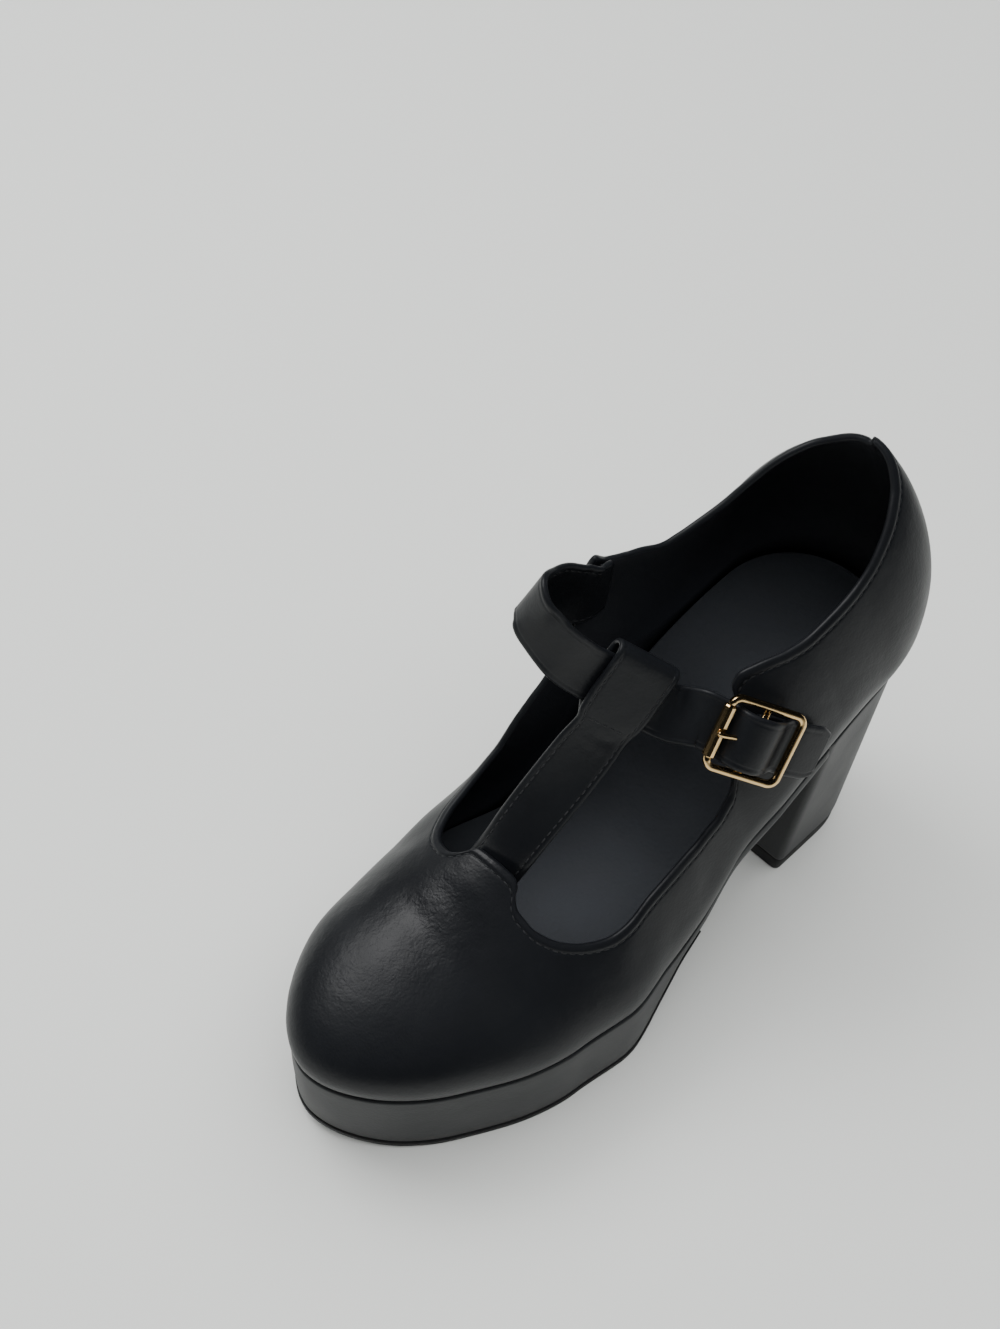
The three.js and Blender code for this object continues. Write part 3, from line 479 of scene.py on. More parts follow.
def blank(name: str) -> tuple[bpy.types.Material, bpy.types.NodeTree, bpy.types.NodeSocket]:
    """Starts a material.

    Args:
        name: Its name.

    Returns:
        The material, its empty node tree and the coordinates that its patterns follow.
    """
    material = bpy.data.materials.new(name)
    material.use_nodes = True
    tree = material.node_tree
    tree.nodes.clear()
    return material, tree, put(tree, "ShaderNodeTexCoord").outputs["Object"]


@dataclass(frozen=True)
class Leather:
    """Coated split leather, embossed and pressed, with a fine pebble and soft waves."""

    name: str
    colour: str
    worn: str
    roughness: float = 0.4
    spread: float = 0.1
    pebble_mm: float = 0.75
    pebble_depth_mm: float = 0.035
    wave_mm: float = 9.0
    wave_depth_mm: float = 0.25
    crumple_mm: float = 1.9
    crumple_depth_mm: float = 0.09
    cloud_mm: float = 26.0
    ior: float = 1.48

    def material(self) -> bpy.types.Material:
        """Builds the Blender material.

        Returns:
            The material.
        """
        material, tree, where = blank(self.name)
        cloud = put(tree, "ShaderNodeTexNoise", {"Scale": per_metre(self.cloud_mm), "Detail": 3.0},
                    {"Vector": where})
        wave = put(tree, "ShaderNodeTexNoise", {"Scale": per_metre(self.wave_mm), "Detail": 2.0},
                   {"Vector": where})
        crumple = put(tree, "ShaderNodeTexNoise",
                      {"Scale": per_metre(self.crumple_mm), "Detail": 3.0, "Distortion": 0.6},
                      {"Vector": where})
        mask = put(tree, "ShaderNodeAttribute", attribute_name="crumple").outputs["Fac"]
        cells = put(tree, "ShaderNodeTexVoronoi", {"Scale": per_metre(self.pebble_mm)}, {"Vector": where},
                    feature="SMOOTH_F1")
        tone = put(tree, "ShaderNodeMix", {6: linear(self.colour), 7: linear(self.worn)},
                   {0: cloud.outputs["Fac"]}, data_type="RGBA")
        low, high = self.roughness - self.spread / 2, self.roughness + self.spread / 2
        gloss = put(tree, "ShaderNodeMapRange",
                    {"From Min": NOISE_LOW, "From Max": NOISE_HIGH, "To Min": low, "To Max": high},
                    {"Value": cloud.outputs["Fac"]})
        broad = put(tree, "ShaderNodeBump", {"Strength": 1.0, "Distance": self.wave_depth_mm * MM},
                    {"Height": wave.outputs["Fac"]})
        folds = put(tree, "ShaderNodeBump", {"Distance": self.crumple_depth_mm * MM},
                    {"Strength": mask, "Height": crumple.outputs["Fac"], "Normal": broad.outputs[0]})
        fine = put(tree, "ShaderNodeBump", {"Strength": 1.0, "Distance": self.pebble_depth_mm * MM},
                   {"Height": cells.outputs["Distance"], "Normal": folds.outputs[0]})
        shader = put(tree, "ShaderNodeBsdfPrincipled", {"IOR": self.ior},
                     {"Base Color": tone.outputs[2], "Roughness": gloss.outputs[0],
                      "Normal": fine.outputs[0]})
        put(tree, "ShaderNodeOutputMaterial", links={"Surface": shader.outputs[0]})
        return material


@dataclass(frozen=True)
class Plain:
    """A finish with one colour, a fine mottle and a fine tooth: rubber, thread or polished metal."""

    name: str
    colour: str
    other: str
    roughness: float
    tooth_mm: float
    tooth_depth_mm: float
    metallic: float = 0.0
    ior: float = 1.5
    mottle_mm: float = 7.0
    spread: float = 0.15

    def material(self) -> bpy.types.Material:
        """Builds the Blender material.

        Returns:
            The material.
        """
        material, tree, where = blank(self.name)
        cloud = put(tree, "ShaderNodeTexNoise", {"Scale": per_metre(self.mottle_mm), "Detail": 4.0},
                    {"Vector": where})
        tooth = put(tree, "ShaderNodeTexNoise", {"Scale": per_metre(self.tooth_mm), "Detail": 2.0},
                    {"Vector": where})
        tone = put(tree, "ShaderNodeMix", {6: linear(self.colour), 7: linear(self.other)},
                   {0: cloud.outputs["Fac"]}, data_type="RGBA")
        low, high = self.roughness * (1 - self.spread), self.roughness * (1 + self.spread)
        gloss = put(tree, "ShaderNodeMapRange",
                    {"From Min": NOISE_LOW, "From Max": NOISE_HIGH, "To Min": low, "To Max": high},
                    {"Value": cloud.outputs["Fac"]})
        bump = put(tree, "ShaderNodeBump", {"Strength": 1.0, "Distance": self.tooth_depth_mm * MM},
                   {"Height": tooth.outputs["Fac"]})
        shader = put(tree, "ShaderNodeBsdfPrincipled", {"Metallic": self.metallic, "IOR": self.ior},
                     {"Base Color": tone.outputs[2], "Roughness": gloss.outputs[0],
                      "Normal": bump.outputs[0]})
        put(tree, "ShaderNodeOutputMaterial", links={"Surface": shader.outputs[0]})
        return material


class Finish(Enum):
    """The shoe's finishes."""

    # Coated leather, pressed smooth: near-black with a satin sheen that breaks up where it bends
    UPPER = Leather("satin_coated_leather", "#101114", "#17191c", ior=1.36)
    # The same leather glued round the platform and heel: flatter, and greyer in the light
    WRAP = Leather("wrapped_sole_leather", "#191a1c", "#212325", roughness=0.5, spread=0.08,
                   wave_depth_mm=0.1, ior=1.43)
    # Microfibre lining: soft black without a sheen
    LINING = Leather("lining_microfibre", "#1b1d21", "#222429", roughness=0.72, pebble_mm=0.6,
                     wave_depth_mm=0.15)
    # Grained insole cover: dark grey with pits that show from a step away
    INSOLE = Leather("grained_insole_cover", "#27292d", "#313439", roughness=0.75, pebble_mm=1.1,
                     pebble_depth_mm=0.12, wave_depth_mm=0.2, ior=1.4)
    # Moulded TPR rubber: dull and slightly dusty
    RUBBER = Plain("moulded_tread_rubber", "#161617", "#1f1f20", 0.72, 0.6, 0.03, ior=1.52)
    # Bonded polyester thread, a little lighter than the leather
    THREAD = Plain("bonded_polyester_thread", "#1d1e20", "#26282a", 0.6, 0.25, 0.03)
    # Zinc casting plated in pale gold and polished: bright edges, soft small waves
    GOLD = Plain("pale_gold_plating", "#f0cf9a", "#e8c48a", 0.15, 2.5, 0.01, metallic=1.0)


class Wardrobe:
    """Makes each finish once."""

    def __init__(self) -> None:
        """Starts with no material made."""
        self.made: dict[Finish, bpy.types.Material] = {}

    def get(self, finish: Finish) -> bpy.types.Material:
        """The finish's material.

        Args:
            finish: The finish.

        Returns:
            Its material, made at the first call.
        """
        if finish not in self.made:
            self.made[finish] = finish.value.material()
        return self.made[finish]


WARDROBE = Wardrobe()


@dataclass
class Sheet:
    """A mesh as it is built: points in mm, faces, a finish for each face and a crumple for points."""

    points: list[Array] = field(default_factory=list)
    faces: list[tuple[int, ...]] = field(default_factory=list)
    finishes: list[int] = field(default_factory=list)
    crumple: list[Array] = field(default_factory=list)
    count: int = 0

    def add(self, points: Array, faces: Sequence[tuple[int, ...]], finishes: Sequence[int],
            crumple: Array | None) -> None:
        """Adds a patch.

        Args:
            points: Its points in mm.
            faces: Its faces, numbered within the patch.
            finishes: A finish's number for each face.
            crumple: A crumple for each point, or None for none.
        """
        self.points.append(points)
        self.faces.extend(tuple(i + self.count for i in face) for face in faces)
        self.finishes.extend(finishes)
        self.crumple.append(np.zeros(len(points)) if crumple is None else crumple)
        self.count += len(points)

    def grid(self, rings: Array, wrap: bool = False, caps: bool = False, first: int | None = None,
             crumple: Array | None = None) -> None:
        """Adds a surface through closed rings of equal count.

        Args:
            rings: Points as rings, points, 3.
            wrap: Joins the last ring to the first.
            caps: Closes the two end rings.
            first: How many rings have the first finish, the rest having the second; all by default.
            crumple: Values as rings, points.
        """
        n, m = rings.shape[:2]
        faces, finishes = [], []
        for i in range(n if wrap else n - 1):
            for j in range(m):
                a, b, k = i * m, (i + 1) % n * m, (j + 1) % m
                faces.append((a + j, a + k, b + k, b + j))
                finishes.append(0 if first is None or i < first else 1)
        if caps:
            faces.append(tuple(range(m))[::-1])
            faces.append(tuple((n - 1) * m + j for j in range(m)))
            finishes.extend([0, 0])
        flat = None if crumple is None else crumple.ravel()
        self.add(rings.reshape(-1, 3), faces, finishes, flat)

    def piece(self, name: str, slot: str, finishes: Sequence[Finish], replaces: Sequence[str] = (),
              weld: bool = True) -> bpy.types.Object:
        """Turns the sheet into a piece of the shoe that rides on its body.

        Args:
            name: The piece's name.
            slot: Not used.
            finishes: The finishes that the faces' numbers mean.
            replaces: CAD nodes that it stands for.
            weld: Whether equal points are joined.

        Returns:
            The object.
        """
        points = (np.concatenate(self.points) + np.array([0, TREAD_CENTRE, 0])) * MM
        mesh = bpy.data.meshes.new(name)
        mesh.from_pydata(points.tolist(), [], self.faces)
        mesh.polygons.foreach_set("material_index", self.finishes)
        mesh.polygons.foreach_set("use_smooth", [True] * len(mesh.polygons))
        mask = mesh.attributes.new("crumple", "FLOAT", "POINT")
        mask.data.foreach_set("value", np.concatenate(self.crumple).astype(np.float32))
        for finish in finishes:
            mesh.materials.append(WARDROBE.get(finish))
        obj = link(name, mesh)
        work = bmesh.new()
        work.from_mesh(mesh)
        if weld:
            bmesh.ops.remove_doubles(work, verts=work.verts, dist=1e-6)
        bmesh.ops.recalc_face_normals(work, faces=work.faces)
        work.to_mesh(mesh)
        work.free()
        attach(obj, BODY)
        if replaces:
            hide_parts(*replaces)
        LOG.info("%s: %d faces", name, len(mesh.polygons))
        return obj


@dataclass
class Stitching:
    """Rows of lockstitch, each stitch a short raised thread with rounded ends."""

    pitch: float = 2.6
    length: float = 1.9
    radius: float = 0.24
    stops: tuple[float, ...] = (0, 0.12, 0.5, 0.88, 1)
    swell: tuple[float, ...] = (0.25, 0.8, 1.0, 0.8, 0.25)
    rise: tuple[float, ...] = (-0.14, 0.02, 0.06, 0.02, -0.14)
    sides: int = 6
    sheet: Sheet = field(default_factory=Sheet)

    def row(self, path: Array, normals: Array) -> None:
        """Lays stitches along a line.

        Args:
            path: The line's points in mm.
            normals: The surface's normals there.
        """
        step = np.linalg.norm(np.diff(path, axis=0), axis=1)
        run = np.concatenate([[0], np.cumsum(step)])
        for start in np.arange(self.pitch / 2, run[-1] - self.length, self.pitch):
            ends = start + np.array(self.stops) * self.length
            line = np.stack([np.interp(ends, run, path[:, k]) for k in range(3)], axis=1)
            up = unit(np.stack([np.interp(ends, run, normals[:, k]) for k in range(3)], axis=1))
            way = unit(line[-1] - line[0])
            side = unit(np.cross(up, way))
            size = np.array(self.swell)[:, None] * self.radius
            angles = np.arange(self.sides) * 2 * math.pi / self.sides
            height = np.array(self.rise)[:, None] + size * np.sin(angles)
            ring = (line[:, None] + up[:, None] * height[..., None]
                    + side[:, None] * (size * np.cos(angles))[..., None])
            self.sheet.grid(ring, caps=True)

    def piece(self) -> bpy.types.Object:
        """The stitching as one piece."""
        return self.sheet.piece("stitching", "upper_leather", [Finish.THREAD], weld=False)


STITCHES = Stitching()


@dataclass
class Upper:
    """Closed vamp, quarters and counter in one skin, lined, with a turned and stitched top edge."""

    wall: float = 2.0
    between: int = 8
    seam_depth: float = 0.16
    back_seam: tuple[float, float] = (0.55, 1.4)
    side_seam: tuple[float, float] = (0.5, 2.4)
    side_seam_ends: tuple[tuple[float, float], ...] = ((113.2, -0.815), (102.5, -0.985))
    turned_edge: float = 0.22
    turned_at: float = 1.1
    turned_width: float = 0.8
    stitch_groove: float = 0.2
    groove_width: float = 0.3
    stitch_at: float = 2.3
    samples: int = 96
    fold_fade: float = 6.0
    least_crumple: float = 0.12
    near: tuple[float, ...] = (0, 0.35, 0.7, 1.05, 1.4, 1.7, 1.95, 2.15, 2.3, 2.45, 2.65, 2.95, 3.5, 4.4)
    rows: int = 40
    inner_rows: int = 20
    folds: tuple[Fold, ...] = (
        Fold((-20, 166, 62), (8, 172, 60), 0.35, 4.0),
        Fold((-26, 176, 56), (4, 181, 58), 0.25, 4.5),
        Fold((-34, 150, 58), (-40, 166, 45), 0.3, 4.0),
        Fold((-33, 84, 118), (-36, 92, 84), 0.4, 4.5),
        Fold((-32, 76, 112), (-36, 84, 80), 0.3, 5.0),
        Fold((30, 96, 72), (37, 112, 52), 0.3, 5.0),
        Fold((26, 70, 100), (36, 76, 84), 0.3, 5.5),
        Fold((29, 60, 104), (37, 62, 90), 0.25, 6.0),
        Fold((27, 128, 58), (38, 140, 42), 0.25, 4.0),
    )
    crumples: tuple[tuple[float, float, float, float], ...] = (
        (-18, 168, 60, 17), (-2, 182, 58, 19), (-22, 203, 52, 18), (-30, 92, 126, 11), (24, 92, 92, 12),
    )

    def edge(self, table: Sequence[Edge], side: int) -> tuple[Array, Array, Array, Array]:
        """Foot and top edge of one side, drawn fine.

        Args:
            table: The edge's own points.
            side: 1 for the lateral side, -1 for the medial one.

        Returns:
            Along and turn of the foot, then along and turn of the edge.
        """
        place = np.arange(len(table))
        at = np.arange((len(table) - 1) * self.between + 1) / self.between
        curve = {name: Curve(place, [getattr(e, name) for e in table])(at) for name in Edge._fields}
        foot = LAST.foot(curve["foot"], side)
        return foot[0], foot[1], curve["along"], side * curve["turn"]

    def build(self) -> bpy.types.Object:
        """Builds the upper and its rows of stitches.

        Returns:
            The upper.
        """
        lateral, medial = self.edge(LATERAL_EDGE, 1), self.edge(MEDIAL_EDGE, -1)
        sides = zip(lateral, medial)
        foot_a, foot_t, edge_a, edge_t = (np.concatenate([p, q[::-1][1:-1]]) for p, q in sides)
        share = np.linspace(0, 1, self.samples + 1)[:, None]
        chart = foot_a + (edge_a - foot_a) * share, foot_t + (edge_t - foot_t) * share
        fine = LAST.point(*chart)
        step = np.linalg.norm(np.diff(fine, axis=0), axis=2)[::-1]
        depth = np.concatenate([np.zeros((1, step.shape[1])), np.cumsum(step, axis=0)])
        rows = []
        for j in range(depth.shape[1]):
            rest = np.linspace(self.near[-1], depth[-1, j], self.rows + 1)[1:]
            wanted = np.concatenate([self.near, rest])
            rows.append(1 - np.interp(wanted, depth[:, j], share[:, 0]))
        t = np.array(rows).T
        gap = np.concatenate([np.repeat(np.array(self.near)[:, None], t.shape[1], 1),
                              np.full((self.rows, t.shape[1]), np.inf)])
        along, turn = foot_a + (edge_a - foot_a) * t, foot_t + (edge_t - foot_t) * t
        base, normal = LAST.point(along, turn), LAST.normal(along, turn)
        turned = self.turned_edge * np.exp(-((gap - self.turned_at) / self.turned_width) ** 2)
        turned -= self.stitch_groove * np.exp(-((gap - self.stitch_at) / self.groove_width) ** 2)
        low = np.clip((base[..., 2] - base[-1][None, :, 2]) / self.fold_fade, 0, 1)
        lift = turned + relief(base, self.folds) * low - self.seams(base)
        outer = base + normal * lift[..., None]
        crumple = crumpling(outer, self.crumples, self.least_crumple)
        rise = unit(outer[0] - outer[2])
        angles = np.linspace(0, math.pi, 9)[1:-1]
        half = self.wall / 2
        roll = [outer[0] + normal[0] * (half * math.cos(a) - half) + rise * (0.8 * half * math.sin(a))
                for a in angles]
        ti = 1 - np.linspace(0, 1, self.inner_rows + 1)[:, None] ** 1.2
        ia, it = foot_a + (edge_a - foot_a) * ti, foot_t + (edge_t - foot_t) * ti
        inner = LAST.lifted(ia, it, -self.wall)
        inner[-1, :, 2] = outer[-1, :, 2]
        rings = np.concatenate([outer[::-1], np.array(roll), inner])
        marks = np.concatenate([crumple[::-1], np.zeros((len(rings) - len(crumple), rings.shape[1]))])
        sheet = Sheet()
        outside = len(outer) + len(roll) - 1
        sheet.grid(rings, wrap=True, first=outside, crumple=marks)
        self.stitch(outer, normal)
        return sheet.piece("upper_skin", "upper_leather", [Finish.UPPER, Finish.LINING], ["upper"])

    def seams(self, points: Array) -> Array:
        """Grooves of the seam down the back and the one between medial quarter and vamp.

        Args:
            points: Points of the upper in mm.

        Returns:
            The depth at each point in mm.
        """
        behind = points[..., 1] > -25
        back = np.exp(-(points[..., 0] / self.back_seam[0]) ** 2) * behind
        a, b = (LAST.point(*end) for end in self.side_seam_ends)
        t = np.clip(((points - a) @ (b - a)) / ((b - a) @ (b - a)), 0, 1)
        gap = np.linalg.norm(points - (a + t[..., None] * (b - a)), axis=-1)
        side = np.exp(-(gap / self.side_seam[0]) ** 2)
        return self.seam_depth * (self.back_seam[1] * back + self.side_seam[1] * side)

    def stitch(self, outer: Array, normal: Array) -> None:
        """Lays one row of stitches below the whole top edge.

        Args:
            outer: Rows of outer points, the edge first.
            normal: The normals there.
        """
        k = self.near.index(self.stitch_at)
        path = np.concatenate([outer[k], outer[k][:1]])
        STITCHES.row(path, np.concatenate([normal[k], normal[k][:1]]))


def smooth(points: Array, count: int) -> Array:
    """Points along a centripetal Catmull-Rom curve.

    Args:
        points: The curve's own points.
        count: Steps to divide it into.

    Returns:
        The count + 1 points.
    """
    n = len(points)
    made = []
    for place in np.linspace(0, n - 1, count + 1):
        i = min(int(place), n - 2)
        w = place - i
        b, c = points[i], points[i + 1]
        a = points[i - 1] if i > 0 else 2 * points[0] - points[1]
        d = points[i + 2] if i + 2 < n else 2 * points[-1] - points[-2]
        gaps = [max(float(np.linalg.norm(q - p)) ** 0.5, 0.0) for p, q in ((a, b), (b, c), (c, d))]
        mid = gaps[1] if gaps[1] > 1e-4 else 1.0
        first, third = (g if g > 1e-4 else mid for g in (gaps[0], gaps[2]))
        t1 = ((b - a) / first - (c - a) / (first + mid) + (c - b) / mid) * mid
        t2 = ((c - b) / mid - (d - b) / (mid + third) + (d - c) / third) * mid
        square, cube = -3 * b + 3 * c - 2 * t1 - t2, 2 * b - 2 * c + t1 + t2
        made.append(b + t1 * w + square * w ** 2 + cube * w ** 3)
    return np.array(made)


@dataclass
class Strip:
    """A flat strap along rows of its middle, its way up and its camber, folded and stitched."""

    centres: Array
    ups: Array
    cambers: Array
    thickness: float
    count: int
    stitch_in: float = 1.9
    stitch_sink: float = 0.12
    groove: float = 0.16
    groove_width: float = 0.32
    pillow: float = 0.06
    pillow_at: float = 1.0
    pillow_width: float = 0.6
    least_crumple: float = 0.15
    marks: tuple[float, ...] = (0.45, 0.9, 1.3, 1.6, 1.9, 2.2, 2.7, 3.6, 5.2)
    folds: tuple[Fold, ...] = ()
    crumples: tuple[tuple[float, float, float, float], ...] = ()

    def frames(self) -> tuple[Array, Array, Array, Array, Array]:
        """Centres, ways to the upper edge, outward ways, half widths and cambers along the strip.

        Returns:
            Those five, one row for each step of the strip.
        """
        centre, up = smooth(self.centres, self.count), smooth(self.ups, self.count)
        place = np.linspace(0, len(self.cambers) - 1, self.count + 1)
        camber = np.interp(place, np.arange(len(self.cambers)), self.cambers)
        tangent = unit(np.gradient(centre, axis=0))
        half = np.linalg.norm(up, axis=1)
        side = unit(up - tangent * np.sum(up * tangent, axis=1, keepdims=True))
        return centre, side, unit(np.cross(side, tangent)), half, camber

    def profile(self, half: float) -> Array:
        """Cross section as width and height: rounded edges, a groove under each row of stitches.

        Args:
            half: Half of the strip's width in mm.

        Returns:
            The section's points, once round.
        """
        r = self.thickness / 2
        inward = np.concatenate([half - r - np.array(self.marks), [0.0]])
        gap = half - np.abs(inward)
        groove = self.pillow * np.exp(-((gap - self.pillow_at) / self.pillow_width) ** 2)
        groove -= self.groove * np.exp(-((gap - self.stitch_in) / self.groove_width) ** 2)
        top = [(w, r + g) for w, g in zip(inward, groove)]
        face = top + [(-w, h) for w, h in top[-2::-1]]
        angles = np.linspace(-math.pi / 2, math.pi / 2, 9)
        arc = [(half - r + r * math.cos(a), r * math.sin(a)) for a in angles]
        other = [(-w, -h) for w, h in arc]
        back = [(-w, -h) for w, h in face]
        return np.array(arc + face + other + back)

    def build(self, sheet: Sheet, stitch: tuple[float, float] = (0.0, 1.0)) -> None:
        """Adds the strip to a sheet and its stitches to the stitching.

        Args:
            sheet: The sheet that takes its faces.
            stitch: The stretch with stitches, as shares of its length.
        """
        centre, side, face, half, camber = self.frames()
        rings = []
        for c, s, f, h, k in zip(centre, side, face, half, camber):
            w, t = self.profile(h).T
            ring = c + s * w[:, None] + f * (t - k * (w / h) ** 2)[:, None]
            rings.append(ring + f * relief(ring, self.folds)[:, None])
        rings = np.array(rings)
        crumple = crumpling(rings, self.crumples, self.least_crumple)
        sheet.grid(rings, caps=True, crumple=crumple)
        lo, hi = (int(round(share * self.count)) for share in stitch)
        width = half - self.stitch_in
        for sign in (1, -1):
            hang = camber * (width / half) ** 2
            rise = self.thickness / 2 - self.stitch_sink - hang
            row = centre + side * (sign * width)[:, None] + face * rise[:, None]
            row += face * relief(row, self.folds)[:, None]
            STITCHES.row(row[lo:hi + 1], face[lo:hi + 1])


@dataclass
class Buckle:
    """Rectangular frame with a centre bar, a roller on its toe side and a prong, in its own frame."""

    centre: tuple[float, float, float] = (26.9, 89.3, 102.8)
    heading: tuple[float, float, float] = (0.68, -0.63, -0.37)
    upward: tuple[float, float, float] = (-0.12, -0.6, 0.79)
    length: float = 25.2
    width: float = 24.6
    bar: float = 2.8
    face: float = 2.2
    depth: float = 2.5
    corner: float = 4.0
    pin: float = 1.05
    hinge: float = 1.1
    drop: float = 0.5
    roller: float = 1.85
    prong: float = 0.8
    gap: float = 0.3
    squareness: float = 2.7
    roller_end: float = 0.86
    roller_chamfer: float = 0.35
    prong_line: tuple[tuple[float, float], ...] = (
        (-3, 1.75), (-5.6, 1.9), (-7.8, 2.3), (-9.6, 2.85), (-11.2, 2.98), (-12.2, 2.8), (-12.6, 2.7),
    )
    prong_point: float = 0.35

    def __post_init__(self) -> None:
        """Works out the frame's three ways."""
        self.s = unit(world(*self.heading))
        up = world(*self.upward)
        self.t = unit(up - self.s * (up @ self.s))
        self.rise = unit(np.cross(self.s, self.t))

    def place(self, s: float, t: float, rise: float) -> Array:
        """A point from its place in the buckle's frame."""
        return world(*self.centre) + self.s * s + self.t * t + self.rise * rise

    def rod(self, line: Sequence[tuple[float, float, float]], sizes: Sequence[tuple[float, float]],
            axis: tuple[float, float, float], sides: int = 20, square: float = 2.0) -> Array:
        """Rings round a line of the buckle's frame.

        Args:
            line: Its points; a last point equal to the first closes it.
            sizes: Half width and half height of the section at each point.
            axis: The way that the heights point.
            sides: Points in a ring.
            square: Squareness of the section, 2 for an ellipse.

        Returns:
            Points as rings, points, 3.
        """
        p = np.array(line, float)
        closed = np.allclose(p[0], p[-1])
        q = p[:-1] if closed else p
        ahead = np.roll(q, -1, axis=0) if closed else np.vstack([q[1:], q[-1:]])
        behind = np.roll(q, 1, axis=0) if closed else np.vstack([q[:1], q[:-1]])
        tangent = unit(ahead - behind)
        up = np.array(axis, float) - tangent * (tangent @ np.array(axis, float))[:, None]
        up = unit(up)
        out = np.cross(tangent, up)
        angle = 2 * math.pi * (np.arange(sides) + 0.5) / sides
        ca, sa = (np.sign(f) * np.abs(f) ** (2 / square) for f in (np.cos(angle), np.sin(angle)))
        size = np.array(sizes)
        ring = (q[:, None] + out[:, None] * (size[:, :1] * ca)[..., None]
                + up[:, None] * (size[:, 1:] * sa)[..., None])
        basis = np.stack([self.s, self.t, self.rise])
        return world(*self.centre) + ring @ basis

    def build(self) -> list[bpy.types.Object]:
        """Builds frame, roller and prong.

        Returns:
            The three pieces.
        """
        a, b = (self.length - self.bar) / 2, (self.width - self.bar) / 2
        r = self.corner - self.bar / 2
        line, sizes = [], []
        for ps, pt, start in ((1, 1, 0), (-1, 1, 90), (-1, -1, 180), (1, -1, 270)):
            for i in range(9):
                angle = math.radians(start + 90 * i / 8)
                line.append((ps * (a - r) + r * math.cos(angle), pt * (b - r) + r * math.sin(angle), 0))
                pinned = (ps < 0 and pt > 0 and i == 8) or (ps < 0 and pt < 0 and i == 0)
                sizes.append((self.pin, self.pin) if pinned else (self.face / 2, self.depth / 2))
        body = Sheet()
        body.grid(self.rod([*line, line[0]], sizes, (0, 0, 1), square=self.squareness), wrap=True)
        ends = [(0, -b, -self.drop), (0, b, -self.drop)]
        body.grid(self.rod(ends, [(self.hinge - 0.15, self.hinge - 0.15)] * 2, (0, 0, 1)), caps=True)
        made = [body.piece("buckle_ring", "buckle_gold", [Finish.GOLD], ["buckle_frame"])]
        half = self.width / 2 - self.corner - 0.2
        full = half - self.roller_chamfer
        stops = [(-half, self.roller_end), (-full, 1.0), (full, 1.0), (half, self.roller_end)]
        tube = Sheet()
        outer = self.rod([(-a, t, 0) for t, _ in stops], [(self.roller * k,) * 2 for _, k in stops],
                         (0, 0, 1), sides=10)
        inner = self.rod([(-a, t, 0) for t, _ in stops[::-1]], [(self.pin + self.gap,) * 2] * 4,
                         (0, 0, 1), sides=10)
        tube.grid(np.concatenate([outer, inner]), wrap=True)
        made.append(tube.piece("buckle_sleeve", "buckle_gold", [Finish.GOLD], ["buckle_roller"]))
        for face in made[-1].data.polygons:
            face.use_smooth = False
        hook = self.hinge + self.gap + self.prong
        path = [(hook * math.cos(v), 0, -self.drop + hook * math.sin(v))
                for v in np.radians(np.linspace(-140, 90, 15))]
        path += [(along, 0, rise) for along, rise in self.prong_line]
        thick = [(self.prong, self.prong)] * (len(path) - 1) + [(self.prong_point, self.prong_point)]
        tongue = Sheet()
        tongue.grid(self.rod(path, thick, (0, 1, 0), sides=14), caps=True)
        made.append(tongue.piece("buckle_tongue", "buckle_gold", [Finish.GOLD], ["buckle_prong"]))
        return made


BUCKLE = Buckle()


def laid_row(reach: float, lift: float, half: float) -> tuple[Array, Array]:
    """A strip's row laid on the quarter at a reach along the buckle's heading."""
    along, turn = LAST.nearest(BUCKLE.place(reach, 0, -8))
    return LAST.lifted(along, turn, lift), BUCKLE.t * half


